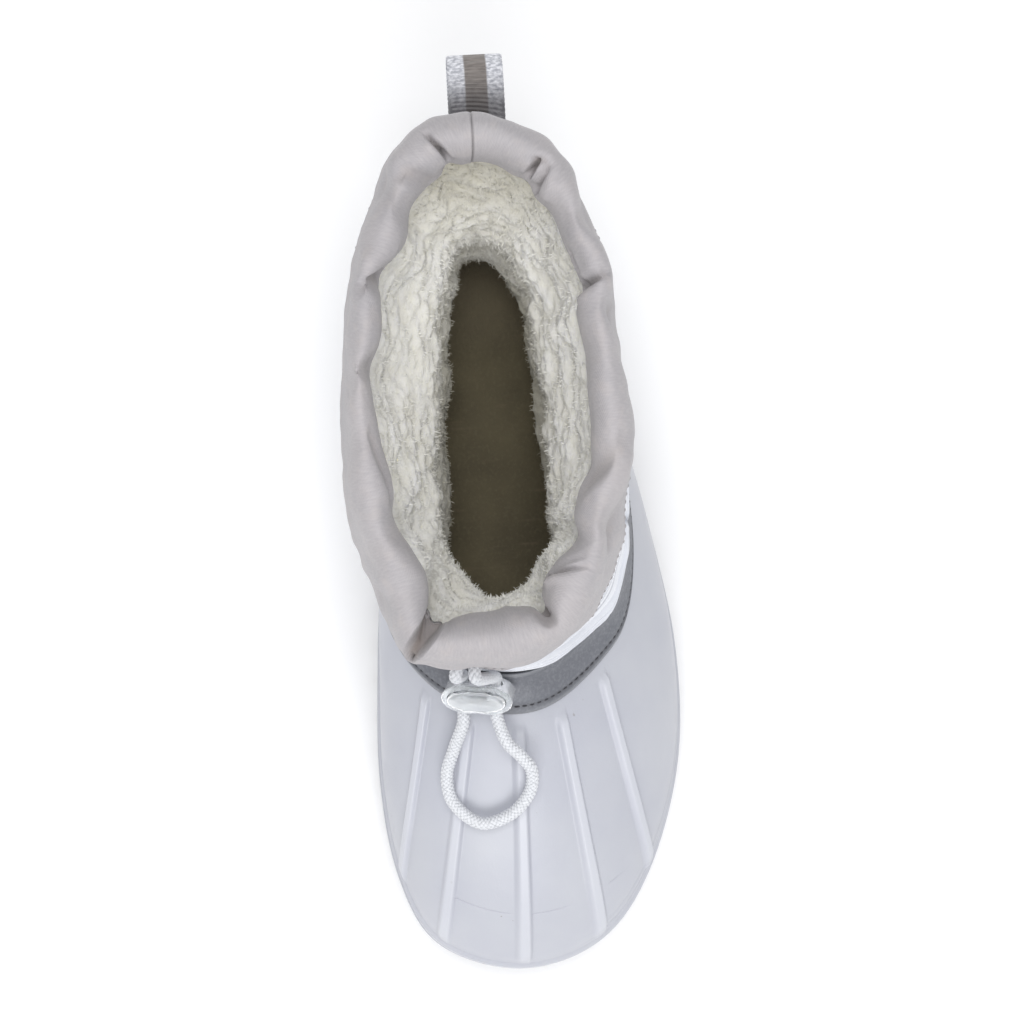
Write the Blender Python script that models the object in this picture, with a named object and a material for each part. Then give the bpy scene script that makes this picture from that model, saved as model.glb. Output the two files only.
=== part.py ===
"""A winter boot for the left foot: a moulded shell on a lugged sole, a textile shaft and a gathered collar.

Metres, +Z up, +X towards the toe, +Y the outer side of the foot.
The origin lies on the floor, under the middle of the heel.
"""

import math

import bmesh
import bpy
import numpy as np
from mathutils import Matrix, Vector

# Driving sizes of the last and the sole
SHOE_LENGTH = 0.279
BALL_WIDTH = 0.110
HEEL_CENTRE = 0.040
HEEL_HEIGHT = 0.030
SOLE_HEIGHT = 0.021
TOE_SPRING = 0.009
ARCH_RISE = 0.006
LUG_DEPTH = 0.0045
GROOVE_WIDTH = 0.0050
SOLE_STEP = 0.0018
SOLE_STEP_HEIGHT = 0.0060
SOLE_RIM = 0.0022
SOLE_ROUND = 0.0010

# Driving sizes of the upper
INSTEP_HEIGHT = 0.092
COLLAR_LENGTH = 0.163
COLLAR_WIDTH = 0.084
COLLAR_SETBACK = 0.0038
COLLAR_HEIGHT = 0.184
SHELL_WALL = 0.0035
SHELL_EDGE = 0.0020
SHELL_LEDGE = 0.0010
SHELL_BULGE = 0.0035
RIB_HEIGHT = 0.0013
SHAFT_WALL = 0.0020
BAND_WALL = 0.0014
CUFF_WALL = 0.0016
CUFF_ROLL_WIDTH = 0.0058
CUFF_ROLL_HEIGHT = 0.0140
CUFF_FLAP = 0.0035
CUFF_SLACK = 0.0008
CUFF_PUFF = 0.0008
COLLAR_BULGE = 0.0030
FOLD_DEPTH = 0.0030
LINING_WALL = 0.0105
LINING_FOOT = 0.0080
LINING_TOP = 0.0024
LINING_SLACK = 0.0120
INSOLE_THICKNESS = 0.0040
GAP = 0.0003

# Driving sizes of the fittings
TAPE_WIDTH = 0.0175
TAPE_THICKNESS = 0.0012
TAPE_REACH = 0.0265
TAPE_PLACE = 0.008
TAPE_OPENING = 0.011
CORD_DIAMETER = 0.0042
CORD_SPACING = 0.0110
CORD_CLEARANCE = 0.0006
LOCK_WIDTH = 0.0235
LOCK_LENGTH = 0.0110
LOCK_CUP = 0.0090
LOCK_WALL = 0.0016
LOCK_ROUND = 0.0012
LOCK_WAIST = 0.0032
LOCK_STAND = 0.0018
BUTTON_STAND = 0.0030
BUTTON_TRAVEL = 0.0030
LOCK_PLACE = 0.5417
LOCK_HEIGHT_PLACE = 1.09
SLIT_PLACE = 1.46
SLIT_WIDTH = 0.0104
SLIT_HEIGHT = 0.0050
CORD_BEND = 0.0010

# Places up the skin: 0 at the sole, 1 at the shell's top edge, 2 at the collar's widest line
SHELL_PLACES = [0.0, 0.07, 0.12, 0.155, 0.30, 0.45, 0.60, 0.74, 0.82, 0.90, 1.0]
SHELL_INNER_PLACES = [1.0, 0.90, 0.74, 0.60, 0.45, 0.30, 0.12]
LEDGE_TOP = 0.14
SHAFT_PLACES = [0.90, 1.0, 1.05, 1.10, 1.18, 1.34, 1.50, 1.66, 1.80]
BAND_PLACES = [0.935, 1.0, 1.05, 1.11]
CUFF_TOP = 1.93
# The fleece's rings: its outer face from the foot up, and its inner face from the mouth down
LINING_NECK = 1.85
LINING_PLACES = [0.12, 0.30, 0.45, 0.60, 0.74, 0.82, 0.90, 1.0, 1.18, 1.50, 1.82, 1.88, 1.95]
LINING_INNER_PLACES = [1.95, 1.88, 1.80, 1.50, 1.18, 0.97, 0.78, 0.60, 0.30, 0.12]
CUFF_COLUMNS = 54

# One row for each line up the boot, heel to toe by the outer side and back by the inner side.
LINE_COLUMNS = [
    "name", "edge_along", "edge_side", "top_along", "top_side", "top_height",
    "collar_along", "collar_side", "collar_height", "hem", "roll", "slack",
]
# edge and top: shares of SHOE_LENGTH, BALL_WIDTH and INSTEP_HEIGHT.
# collar: shares of COLLAR_LENGTH, COLLAR_WIDTH and COLLAR_HEIGHT.
# hem: place of the collar's lower edge up the skin. roll and slack: shares of CUFF_ROLL_WIDTH and LINING_SLACK.
LINES = [
    ("heel_back", 0.000, 0.000, 0.013, -0.010, 0.880, 0.000, -0.042, 1.000, 1.72, 1.80, 1.00),
    ("heel_curve_outer", 0.032, 0.240, 0.047, 0.200, 0.860, 0.084, 0.244, 1.000, 1.72, 1.30, 0.80),
    ("heel_side_outer", 0.136, 0.365, 0.143, 0.327, 0.800, 0.241, 0.395, 0.995, 1.71, 1.00, 0.55),
    ("waist_outer", 0.287, 0.430, 0.258, 0.382, 0.745, 0.447, 0.429, 0.985, 1.70, 1.30, 0.60),
    ("arch_outer", 0.440, 0.520, 0.358, 0.418, 0.735, 0.605, 0.452, 0.975, 1.68, 1.60, 0.85),
    ("joint_outer", 0.600, 0.589, 0.459, 0.423, 0.765, 0.744, 0.411, 0.960, 1.62, 2.00, 0.85),
    ("ball_outer", 0.750, 0.577, 0.538, 0.382, 0.835, 0.853, 0.351, 0.940, 1.50, 2.30, 0.70),
    ("rib_5", 0.887, 0.462, 0.577, 0.295, 0.910, 0.938, 0.226, 0.920, 1.40, 2.20, 0.70),
    ("rib_4", 0.970, 0.292, 0.614, 0.164, 0.975, 0.990, 0.048, 0.910, 1.35, 2.60, 0.60),
    ("rib_3", 0.998, 0.040, 0.626, 0.050, 1.000, 1.000, -0.119, 0.910, 1.34, 2.60, 0.60),
    ("rib_2", 0.962, -0.212, 0.617, -0.086, 0.985, 0.993, -0.268, 0.910, 1.34, 2.60, 0.70),
    ("rib_1", 0.878, -0.324, 0.588, -0.210, 0.925, 0.941, -0.387, 0.920, 1.38, 2.40, 0.85),
    ("ball_inner", 0.755, -0.366, 0.538, -0.305, 0.850, 0.853, -0.452, 0.940, 1.48, 1.40, 0.85),
    ("joint_inner", 0.605, -0.350, 0.459, -0.341, 0.780, 0.750, -0.506, 0.960, 1.60, 1.05, 0.75),
    ("arch_inner", 0.445, -0.316, 0.358, -0.350, 0.750, 0.611, -0.536, 0.975, 1.68, 0.90, 0.75),
    ("waist_inner", 0.287, -0.305, 0.254, -0.336, 0.755, 0.447, -0.518, 0.985, 1.70, 0.90, 0.80),
    ("heel_side_inner", 0.136, -0.330, 0.143, -0.309, 0.805, 0.241, -0.452, 0.995, 1.71, 1.00, 0.85),
    ("heel_curve_inner", 0.032, -0.228, 0.047, -0.205, 0.860, 0.072, -0.300, 1.000, 1.72, 1.50, 0.85),
]
FIRST_RIB = 7
LAST_RIB = 11
# The middle of the foot's room in plan, from the heel to the ball
SPINE = ((0.06 * HEEL_CENTRE, 0.03 * BALL_WIDTH), (0.27 * SHOE_LENGTH, 0.04 * BALL_WIDTH))

# The sole from the side, heel to toe. top: share between SOLE_HEIGHT (0) and HEEL_HEIGHT (1).
# under: rise of the tread over the floor as a share of ARCH_RISE. spring: the same as a share of TOE_SPRING.
SIDE_COLUMNS = ["along", "top", "under", "spring"]
SIDE = [
    (0.000, 1.00, 0.25, 0.00),
    (0.008, 1.00, 0.08, 0.00),
    (0.025, 1.00, 0.00, 0.00),
    (0.080, 1.00, 0.00, 0.00),
    (0.170, 1.00, 0.00, 0.00),
    (0.255, 0.97, 0.00, 0.00),
    (0.275, 0.94, 0.92, 0.00),
    (0.330, 0.80, 1.00, 0.00),
    (0.390, 0.58, 0.82, 0.00),
    (0.440, 0.38, 0.30, 0.00),
    (0.460, 0.30, 0.00, 0.00),
    (0.530, 0.10, 0.00, 0.00),
    (0.600, 0.00, 0.00, 0.00),
    (0.670, 0.00, 0.00, 0.00),
    (0.740, 0.03, 0.00, 0.00),
    (0.800, 0.14, 0.00, 0.10),
    (0.850, 0.28, 0.00, 0.25),
    (0.895, 0.44, 0.00, 0.42),
    (0.930, 0.58, 0.00, 0.59),
    (0.958, 0.68, 0.00, 0.74),
    (0.980, 0.75, 0.00, 0.87),
    (0.993, 0.79, 0.00, 0.96),
    (1.000, 0.80, 0.00, 1.00),
]
# Cross grooves of the tread, as shares of the length: where their middle is, and how far their ends trail it
GROOVES = [
    (0.065, 0.012), (0.112, 0.012), (0.178, 0.012), (0.222, 0.012),
    (0.500, 0.016), (0.548, 0.018), (0.596, 0.020), (0.644, 0.022), (0.692, 0.024), (0.740, 0.026),
    (0.788, 0.028), (0.836, 0.030), (0.884, 0.032), (0.930, 0.034),
]

# The gathered collar: place round it, spread of each trough, depth as a share of FOLD_DEPTH
FOLDS = [
    (0.038, 0.016, 0.95),
    (0.088, 0.020, 0.60),
    (0.140, 0.018, 0.55),
    (0.196, 0.022, 0.85),
    (0.252, 0.018, 0.45),
    (0.310, 0.022, 0.60),
    (0.368, 0.020, 0.85),
    (0.415, 0.016, 0.80),
    (0.452, 0.014, 0.60),
    (0.590, 0.018, 1.00),
    (0.640, 0.020, 0.45),
    (0.690, 0.022, 0.70),
    (0.742, 0.020, 0.45),
    (0.795, 0.022, 0.60),
    (0.845, 0.020, 0.75),
    (0.890, 0.018, 0.55),
    (0.930, 0.018, 0.70),
    (0.968, 0.014, 0.95),
]

# The drawcord's loop beyond the lock, as shares of LOOP_LENGTH forward of it and of LOOP_WIDTH to its side
LOOP_LENGTH = 0.040
LOOP_WIDTH = 0.030
LOOP_ROUTE = [
    # forward, side, height over the shell
    (0.14, -0.20, 0.0050),
    (0.36, -0.31, 0.0025),
    (0.60, -0.41, 0.0012),
    (0.84, -0.35, 0.0012),
    (1.00, -0.05, 0.0012),
    (0.91, 0.30, 0.0015),
    (0.71, 0.53, 0.0035),
    (0.51, 0.57, 0.0055),
    (0.39, 0.46, 0.0065),
    (0.27, 0.30, 0.0065),
    (0.13, 0.22, 0.0055),
]


def column(name):
    """One named column of LINES."""
    return np.array([row[LINE_COLUMNS.index(name)] for row in LINES])


def around(name, u):
    """A column of LINES as a closed smooth curve, read at u, which goes from 0 to 1 round the boot."""
    values = column(name)
    place = (np.asarray(u) % 1.0) * len(values)
    k = np.floor(place).astype(int)
    f = place - k
    a, b, c, d = (values[(k + step) % len(values)] for step in (-1, 0, 1, 2))
    return through(a, b, c, d, f)


def through(a, b, c, d, f):
    """The smooth curve through four values, read from the second (f is 0) to the third (f is 1)."""
    return 0.5 * (2 * b + (c - a) * f + (2 * a - 5 * b + 4 * c - d) * f**2 + (3 * b - a - 3 * c + d) * f**3)


def ease(share):
    share = np.clip(share, 0.0, 1.0)
    return share * share * (3 - 2 * share)


def side_view(name, x):
    """A column of SIDE at a place along the boot."""
    rows = np.array(SIDE)
    along = (np.asarray(x) + HEEL_CENTRE) / SHOE_LENGTH
    return np.interp(along, rows[:, 0], rows[:, SIDE_COLUMNS.index(name)])


def sole_top(x):
    return SOLE_HEIGHT + (HEEL_HEIGHT - SOLE_HEIGHT) * side_view("top", x)


def sole_under(x):
    return ARCH_RISE * side_view("under", x) + TOE_SPRING * side_view("spring", x)


def edge_ring(u):
    x = around("edge_along", u) * SHOE_LENGTH - HEEL_CENTRE
    return np.stack([x, around("edge_side", u) * BALL_WIDTH, sole_top(x) + 2 * GAP], axis=1)


def top_ring(u):
    x = around("top_along", u) * SHOE_LENGTH - HEEL_CENTRE
    y = around("top_side", u) * BALL_WIDTH
    return np.stack([x, y, around("top_height", u) * INSTEP_HEIGHT], axis=1)


def collar_ring(u):
    x = around("collar_along", u) * COLLAR_LENGTH - HEEL_CENTRE - COLLAR_SETBACK
    y = around("collar_side", u) * COLLAR_WIDTH
    return np.stack([x, y, around("collar_height", u) * COLLAR_HEIGHT], axis=1)


def plan_normal(ring, u):
    """Outward level direction of a ring."""
    run = ring(u + 1e-3) - ring(u - 1e-3)
    out = np.stack([run[:, 1], -run[:, 0], 0 * run[:, 0]], axis=1)
    return -out / np.linalg.norm(out, axis=1, keepdims=True)


def bezier(points, t):
    a, b, c, d = points
    s = 1 - t
    return a * s**3 + 3 * b * s * s * t + 3 * c * s * t * t + d * t**3


def skin(u, t):
    """Points of the boot's outer skin, by place round it and place up it."""
    t = np.clip(np.broadcast_to(t, np.shape(u)), 0, 2)[:, None]
    edge, top, collar = edge_ring(u), top_ring(u), collar_ring(u)
    rise = (top - edge) * [0, 0, 1]
    lower = top + 0.46 * (edge - top) * [1, 1, 0] - 0.27 * rise
    bulge = edge + SHELL_BULGE * plan_normal(edge_ring, u) + 0.58 * rise
    shell_part = bezier((edge, bulge, lower, top), np.minimum(t, 1))
    climb = (collar - top) * [0, 0, 1]
    turn = top + 0.32 * (top - lower) * [1, 1, 0] + 0.22 * climb
    puff = collar - 0.42 * climb + COLLAR_BULGE * plan_normal(collar_ring, u)
    return np.where(t <= 1, shell_part, bezier((top, turn, puff, collar), np.maximum(t - 1, 0)))


def outward(u, t):
    """Unit normals of the skin, pointing out."""
    t = np.clip(np.broadcast_to(t, np.shape(u)), 2e-3, 2 - 2e-3)
    across = skin(u + 1e-3, t) - skin(u - 1e-3, t)
    upward = skin(u, t + 2e-3) - skin(u, t - 2e-3)
    normal = np.cross(upward, across)
    return normal / np.linalg.norm(normal, axis=1, keepdims=True)


def layer(u, t, offset):
    """Points at a distance from the skin: outside it, or inside where the distance is negative."""
    return skin(u, t) + outward(u, t) * np.reshape(offset, (-1, 1))


def plain_columns():
    """Where the columns of the soft pieces stand round the boot."""
    places = []
    for k in range(len(LINES)):
        shares = [0.0, 0.5] if k in (2, 3, 4, 5, 12, 13, 14, 15) else [0.0, 0.33, 0.67]
        places += [(k + share) / len(LINES) for share in shares]
    return np.array(places)


def ribbed_columns():
    """Where the shell's columns stand: each rib has some at its crest and its feet."""
    places = []
    for k in range(len(LINES)):
        if FIRST_RIB <= k < LAST_RIB:
            shares = [0.0, 0.12, 0.50, 0.88]
        elif k == FIRST_RIB - 1:
            shares = [0.0, 0.33, 0.67, 0.88]
        elif k == LAST_RIB:
            shares = [0.0, 0.12, 0.40, 0.70]
        elif k in (0, 1, len(LINES) - 2, len(LINES) - 1):
            shares = [0.0, 0.25, 0.50, 0.75]
        else:
            shares = [0.0, 0.33, 0.67]
        places += [(k + share) / len(LINES) for share in shares]
    return np.array(places)


def rib_height(u, t):
    """Height of the raised ribs over the skin: a flat crest on each rib's line, ended short of the band."""
    place = u * len(LINES)
    away = np.min([np.abs(place - k) for k in range(FIRST_RIB, LAST_RIB + 1)], axis=0)
    across = 1 - ease((away - 0.03) / 0.09)
    return RIB_HEIGHT * across * ease((t - 0.04) / 0.26) * (1 - ease((t - 0.80) / 0.08))


def shell_wall(t):
    """The shell's wall, thinned towards its sewn top edge."""
    return SHELL_WALL + (SHELL_EDGE - SHELL_WALL) * ease((np.asarray(t) - 0.60) / 0.30)


def shaft_face(t):
    """How far the shaft's outer face lies inside the skin: within the shell, and then out to the skin."""
    return -(shell_wall(t) + 1.5 * GAP) * (1 - ease((np.asarray(t) - 1.0) / 0.18))


def lining_ring(u, t, depth):
    """A ring of the fleece sock at a depth under its outer face, which is slack inside the shaft."""
    if t < 0.85:
        face = -float(shell_wall(t)) - 2.5 * GAP
    elif t < LINING_NECK:
        face = float(shaft_face(t)) - SHAFT_WALL - GAP
    else:
        face = CUFF_SLACK - FOLD_DEPTH - 2 * GAP
    slack = LINING_SLACK * around("slack", u) * ease((t - 0.30) / 0.55) * (1 - ease((t - 1.05) / 0.75))
    places, normal = layer(u, t, face), outward(u, t)
    heel, toe = np.array(SPINE)
    share = np.clip((places[:, :2] - heel) @ (toe - heel) / ((toe - heel) @ (toe - heel)), 0, 1)
    level = places[:, :2] - heel - share[:, None] * (toe - heel)
    level /= np.linalg.norm(level, axis=1, keepdims=True)
    from_spine = np.hstack([level * np.sqrt(1 - normal[:, 2:] ** 2), normal[:, 2:]])
    direction = normal + (from_spine - normal) * ease((t - 0.55) / 0.40)
    return places - direction * np.reshape(slack + depth, (-1, 1))


def loop_mesh(name, rings):
    """A hollow sleeve: closed rings joined each to the next, and the last to the first."""
    count, size = len(rings), len(rings[0])
    faces = []
    for r in range(count):
        for c in range(size):
            n, d = (r + 1) % count, (c + 1) % size
            faces.append((r * size + c, r * size + d, n * size + d, n * size + c))
    mesh = bpy.data.meshes.new(name)
    mesh.from_pydata(np.concatenate(rings).tolist(), [], faces)
    return mesh


def add_object(name, mesh, finish=None):
    """Puts a mesh in the scene with its faces pointing out and its round faces shaded smooth."""
    shape = bmesh.new()
    shape.from_mesh(mesh)
    bmesh.ops.recalc_face_normals(shape, faces=shape.faces)
    shape.to_mesh(mesh)
    shape.free()
    if finish:
        mesh.materials.append(finish)
    mesh.shade_smooth()
    mesh.set_sharp_from_angle(angle=math.radians(40))
    made = bpy.data.objects.new(name, mesh)
    bpy.context.scene.collection.objects.link(made)
    return made


def material(name, colour, roughness):
    made = bpy.data.materials.new(name)
    made.use_nodes = True
    shader = made.node_tree.nodes["Principled BSDF"]
    shader.inputs["Base Color"].default_value = (*colour, 1.0)
    shader.inputs["Roughness"].default_value = roughness
    return made


def cut(target, name, mesh):
    """Takes a cutter's shape out of the target, and keeps the cutter out of the picture."""
    cutter = add_object(name, mesh)
    cutter.hide_render = True
    cutter.display_type = "WIRE"
    modifier = target.modifiers.new(name, "BOOLEAN")
    modifier.operation = "DIFFERENCE"
    modifier.solver = "EXACT"
    modifier.object = cutter
    return cutter


def make_shell(finish):
    """The moulded lower, open above and underneath, with ribs over the toe and a ledge round its foot."""
    u = ribbed_columns()
    rings = [layer(u, t, (SHELL_LEDGE if t < LEDGE_TOP else 0.0) + rib_height(u, t)) for t in SHELL_PLACES]
    rings += [layer(u, t, -shell_wall(t)) for t in SHELL_INNER_PLACES]
    foot = rings[0] - plan_normal(edge_ring, u) * (SHELL_WALL + SHELL_LEDGE)
    foot[:, 2] = rings[0][:, 2]
    return add_object("shell", loop_mesh("shell", [*rings, foot]), finish)


def make_shaft(finish):
    """The textile shaft, from inside the shell's top edge to inside the collar."""
    u = plain_columns()
    rings = [layer(u, t, shaft_face(t)) for t in SHAFT_PLACES]
    rings += [layer(u, t, shaft_face(t) - SHAFT_WALL) for t in reversed(SHAFT_PLACES)]
    return add_object("shaft", loop_mesh("shaft", rings), finish)


def make_band(finish):
    """The trim over the join of shell and shaft."""
    u = plain_columns()
    rings = [layer(u, t, shaft_face(t) * (t > 1) + 2.5 * GAP) for t in BAND_PLACES]
    rings += [layer(u, t, shaft_face(t) * (t > 1) + 2.5 * GAP + BAND_WALL) for t in reversed(BAND_PLACES)]
    return add_object("instep_band", loop_mesh("instep_band", rings), finish)


def make_lining(finish):
    """The fleece sock, close to the shell at the foot and slack inside the shaft."""
    u = plain_columns()
    rings = [lining_ring(u, t, 0.0) for t in LINING_PLACES]
    roll = (around("roll", u) - 1) * CUFF_ROLL_WIDTH
    for t in LINING_INNER_PLACES:
        wall = LINING_TOP if t > LINING_NECK else LINING_WALL if 0.7 < t < 1.6 else LINING_FOOT
        rings.append(lining_ring(u, t, wall + roll * ease((t - 1.1) / 0.7)))
    return add_object("fleece_lining", loop_mesh("fleece_lining", rings), finish)


def fold_depth(u):
    """Depth of the collar's gathers at a place round it."""
    depth = np.zeros(len(u))
    for place, spread, share in FOLDS:
        away = np.abs((u - place + 0.5) % 1.0 - 0.5)
        depth = np.maximum(depth, share * np.exp(-2.2 * (away / spread) ** 2))
    return FOLD_DEPTH * depth


def cuff_rings(u, under):
    """Rings of the collar from its hem, over the roll and down inside, at a depth under its outer face."""
    out, up = plan_normal(collar_ring, u), np.array([0.0, 0.0, 1.0])
    folds = fold_depth(u)
    hem = around("hem", u)
    rings = []
    for share in (0.0, 0.2, 0.5, 0.8):
        t = hem + (CUFF_TOP - hem) * share
        gather = folds * ease((t - SHAFT_PLACES[-1]) / 0.13)
        puff = CUFF_SLACK + CUFF_WALL + CUFF_PUFF * math.sin(math.pi * share) - gather
        rings.append(layer(u, t, puff - under))
    half = CUFF_ROLL_WIDTH * around("roll", u) / 2
    centre = collar_ring(u) - out * half[:, None]
    for angle in (0, 45, 80, 115, 180):
        turn = math.radians(angle)
        pull = folds * (0.7 + 0.3 * math.cos(turn))
        wide = half + CUFF_WALL + CUFF_SLACK - under - pull
        tall = CUFF_ROLL_HEIGHT - under - 0.5 * folds
        rings.append(centre + out * (math.cos(turn) * wide)[:, None] + up * (math.sin(turn) * tall)[:, None])
    rings.append(rings[-1] - up * CUFF_FLAP)
    return rings


def make_cuff(finish):
    """The gathered collar: one cloth from its hem on the shaft, over the roll, to the flap on the fleece."""
    u = np.arange(CUFF_COLUMNS) / CUFF_COLUMNS
    rings = cuff_rings(u, 0.0) + cuff_rings(u, CUFF_WALL)[::-1]
    collar = add_object("collar_cuff", loop_mesh("collar_cuff", rings), finish)
    cut(collar, "drawcord_slit", slit_cutter("drawcord_slit"))


def outline(offset, x_share):
    """The sole's two sides at places along it, moved out by an offset: x, inner y and outer y."""
    u = np.arange(1440) / 1440
    ring = edge_ring(u) + plan_normal(edge_ring, u) * offset
    toe, heel = int(np.argmax(ring[:, 0])), int(np.argmin(ring[:, 0]))
    outer = np.roll(ring, -heel, axis=0)[: (toe - heel) % 1440 + 1]
    inner = np.roll(ring, -toe, axis=0)[: (heel - toe) % 1440 + 1][::-1]
    x = ring[heel, 0] + np.asarray(x_share) * (ring[toe, 0] - ring[heel, 0])
    return x, np.interp(x, inner[:, 0], inner[:, 1]), np.interp(x, outer[:, 0], outer[:, 1])


def strip_solid(name, places, levels):
    """A solid from levels of the outline: each level has an offset and a function for its height."""
    count = len(places)
    points, faces = [], []
    for offset, height in levels:
        x, inner, outer = outline(offset, places)
        loop = [(x[k], outer[k], height(x[k])) for k in range(count)]
        loop += [(x[k], inner[k], height(x[k])) for k in range(count - 2, 0, -1)]
        points += loop
    size = 2 * count - 2
    for r in range(len(levels) - 1):
        for c in range(size):
            d = (c + 1) % size
            faces.append((r * size + c, r * size + d, (r + 1) * size + d, (r + 1) * size + c))
    for base in (0, (len(levels) - 1) * size):
        for c in range(count - 1):
            corners = dict.fromkeys([c, c + 1, (size - c - 1) % size, (size - c) % size])
            faces.append([base + k for k in corners])
    mesh = bpy.data.meshes.new(name)
    mesh.from_pydata(points, [], faces)
    return mesh


def groove_cutter(name):
    """Chevron bars that cut the tread, one for each row of GROOVES."""
    points, faces = [], []
    sides = np.array([-0.60, -0.30, 0.0, 0.36, 0.72])
    for middle, trail in GROOVES:
        for side in sides:
            x = (middle - trail * abs(side - 0.03) / 0.6) * SHOE_LENGTH - HEEL_CENTRE
            floor = float(sole_under(x))
            for along, height in ((-1, -LUG_DEPTH), (1, -LUG_DEPTH), (0.8, LUG_DEPTH), (-0.8, LUG_DEPTH)):
                points.append((x + along * GROOVE_WIDTH / 2, side * BALL_WIDTH, floor + height))
        start = len(points) - 4 * len(sides)
        for base in range(start, len(points) - 4, 4):
            for c in range(4):
                d = (c + 1) % 4
                faces.append((base + c, base + d, base + 4 + d, base + 4 + c))
        faces.append([start + c for c in range(4)])
        faces.append([len(points) - 4 + c for c in range(4)])
    mesh = bpy.data.meshes.new(name)
    mesh.from_pydata(points, [], faces)
    return mesh


def make_outsole(finish):
    """The sole: a tread with cross grooves, a heel, a step in its side and a rim round the shell's foot."""
    places = np.array([row[0] for row in SIDE])
    levels = [
        (SOLE_RIM - SOLE_STEP - SOLE_ROUND, sole_under),
        (SOLE_RIM - SOLE_STEP, lambda x: sole_under(x) + SOLE_ROUND),
        (SOLE_RIM - SOLE_STEP, lambda x: sole_under(x) + SOLE_STEP_HEIGHT),
        (SOLE_RIM, lambda x: sole_under(x) + SOLE_STEP_HEIGHT + SOLE_ROUND),
        (SOLE_RIM, lambda x: sole_top(x) - SOLE_ROUND),
        (SOLE_RIM - SOLE_ROUND, sole_top),
    ]
    sole = add_object("outsole", strip_solid("outsole", places, levels), finish)
    cut(sole, "tread_grooves", groove_cutter("tread_grooves"))
    return sole


def make_insole(finish):
    """The footbed, inside the shell's foot."""
    places = np.array([row[0] for row in SIDE])
    offset = -(SHELL_WALL + 4 * GAP)
    levels = [(offset, lambda x: sole_top(x) + GAP), (offset, lambda x: sole_top(x) + GAP + INSOLE_THICKNESS)]
    return add_object("insole", strip_solid("insole", places, levels), finish)


def make_pull_loop(finish):
    """A tape loop whose flat root lies on the back of the shaft, under the collar's hem."""
    columns = np.linspace(-0.5, 0.5, 5)
    hem = float(around("hem", 0.0)) - 0.02
    route = [
        # back, up, share of the root's bend
        (0.00, 0.00, 1.0), (0.06, 0.22, 1.0), (0.30, 0.40, 0.6), (0.60, 0.52, 0.2),
        (0.86, 0.46, 0.0), (0.98, 0.20, 0.0), (1.00, -0.10, 0.0), (0.93, -0.40, 0.0),
        (0.70, -0.56, 0.1), (0.40, -0.62, 0.4), (0.12, -0.74, 0.9), (0.00, -0.95, 1.0),
    ]
    near = skin(np.array([TAPE_PLACE - 0.01, TAPE_PLACE + 0.01]), hem)
    u_side = TAPE_PLACE + columns * TAPE_WIDTH * 0.02 / abs(near[1, 1] - near[0, 1])
    root = layer(u_side, hem, GAP + TAPE_THICKNESS / 2)
    middle = root[2]
    rings = []
    path = np.array([(-back * TAPE_REACH, up * TAPE_OPENING) for back, up, _ in route])
    after, before = np.roll(path, -1, axis=0), np.roll(path, 1, axis=0)
    run = after - before
    run /= np.linalg.norm(run, axis=1, keepdims=True)
    for side in (1, -1):
        for k, (_, _, bend) in enumerate(route):
            normal = np.array([-run[k, 1], run[k, 0]]) * side * TAPE_THICKNESS / 2
            x = middle[0] + path[k, 0] + normal[0] + bend * (root[:, 0] - middle[0])
            z = middle[2] - TAPE_OPENING * 0.5 + path[k, 1] + normal[1]
            rings.append(np.stack([x, middle[1] + columns * TAPE_WIDTH, np.full(5, z)], axis=1))
    count, wide = len(route), len(columns)
    points = np.concatenate(rings)
    faces = []
    for k in range(count):
        n = (k + 1) % count
        for c in range(wide - 1):
            faces.append([k * wide + c, n * wide + c, n * wide + c + 1, k * wide + c + 1])
            back, front = (count + k) * wide + c, (count + n) * wide + c
            faces.append([back, back + 1, front + 1, front])
        for c in (0, wide - 1):
            faces.append([k * wide + c, n * wide + c, (count + n) * wide + c, (count + k) * wide + c])
    mesh = bpy.data.meshes.new("pull_loop")
    mesh.from_pydata(points.tolist(), [], faces)
    return add_object("pull_loop", mesh, finish)


def lock_frame():
    """Where the cord lock lies: its middle, and its directions along the cords, across them and out."""
    u = np.array([LOCK_PLACE])
    out = outward(u, 1.0)[0]
    across = np.array([0.0, 1.0, 0.0]) - out * out[1]
    across /= np.linalg.norm(across)
    along = np.cross(across, out)
    middle = layer(u, LOCK_HEIGHT_PLACE, LOCK_CUP * 0.5 + BAND_WALL + LOCK_STAND)[0]
    return middle, along, across, out


def seat_in_lock(thing):
    """Places a piece modelled round the lock's middle: X across the cords, Y along them and Z out."""
    middle, along, across, out = (Vector(value) for value in lock_frame())
    turn = Matrix((across, along, out)).transposed()
    thing.matrix_world = Matrix.LocRotScale(middle, turn, None)
    return thing


def slit_middle(out):
    """A place in the slit of the collar's front, at a distance out of the collar's inner face."""
    u = np.array([LOCK_PLACE])
    return layer(u, SLIT_PLACE, CUFF_SLACK + GAP + out)[0]


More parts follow.
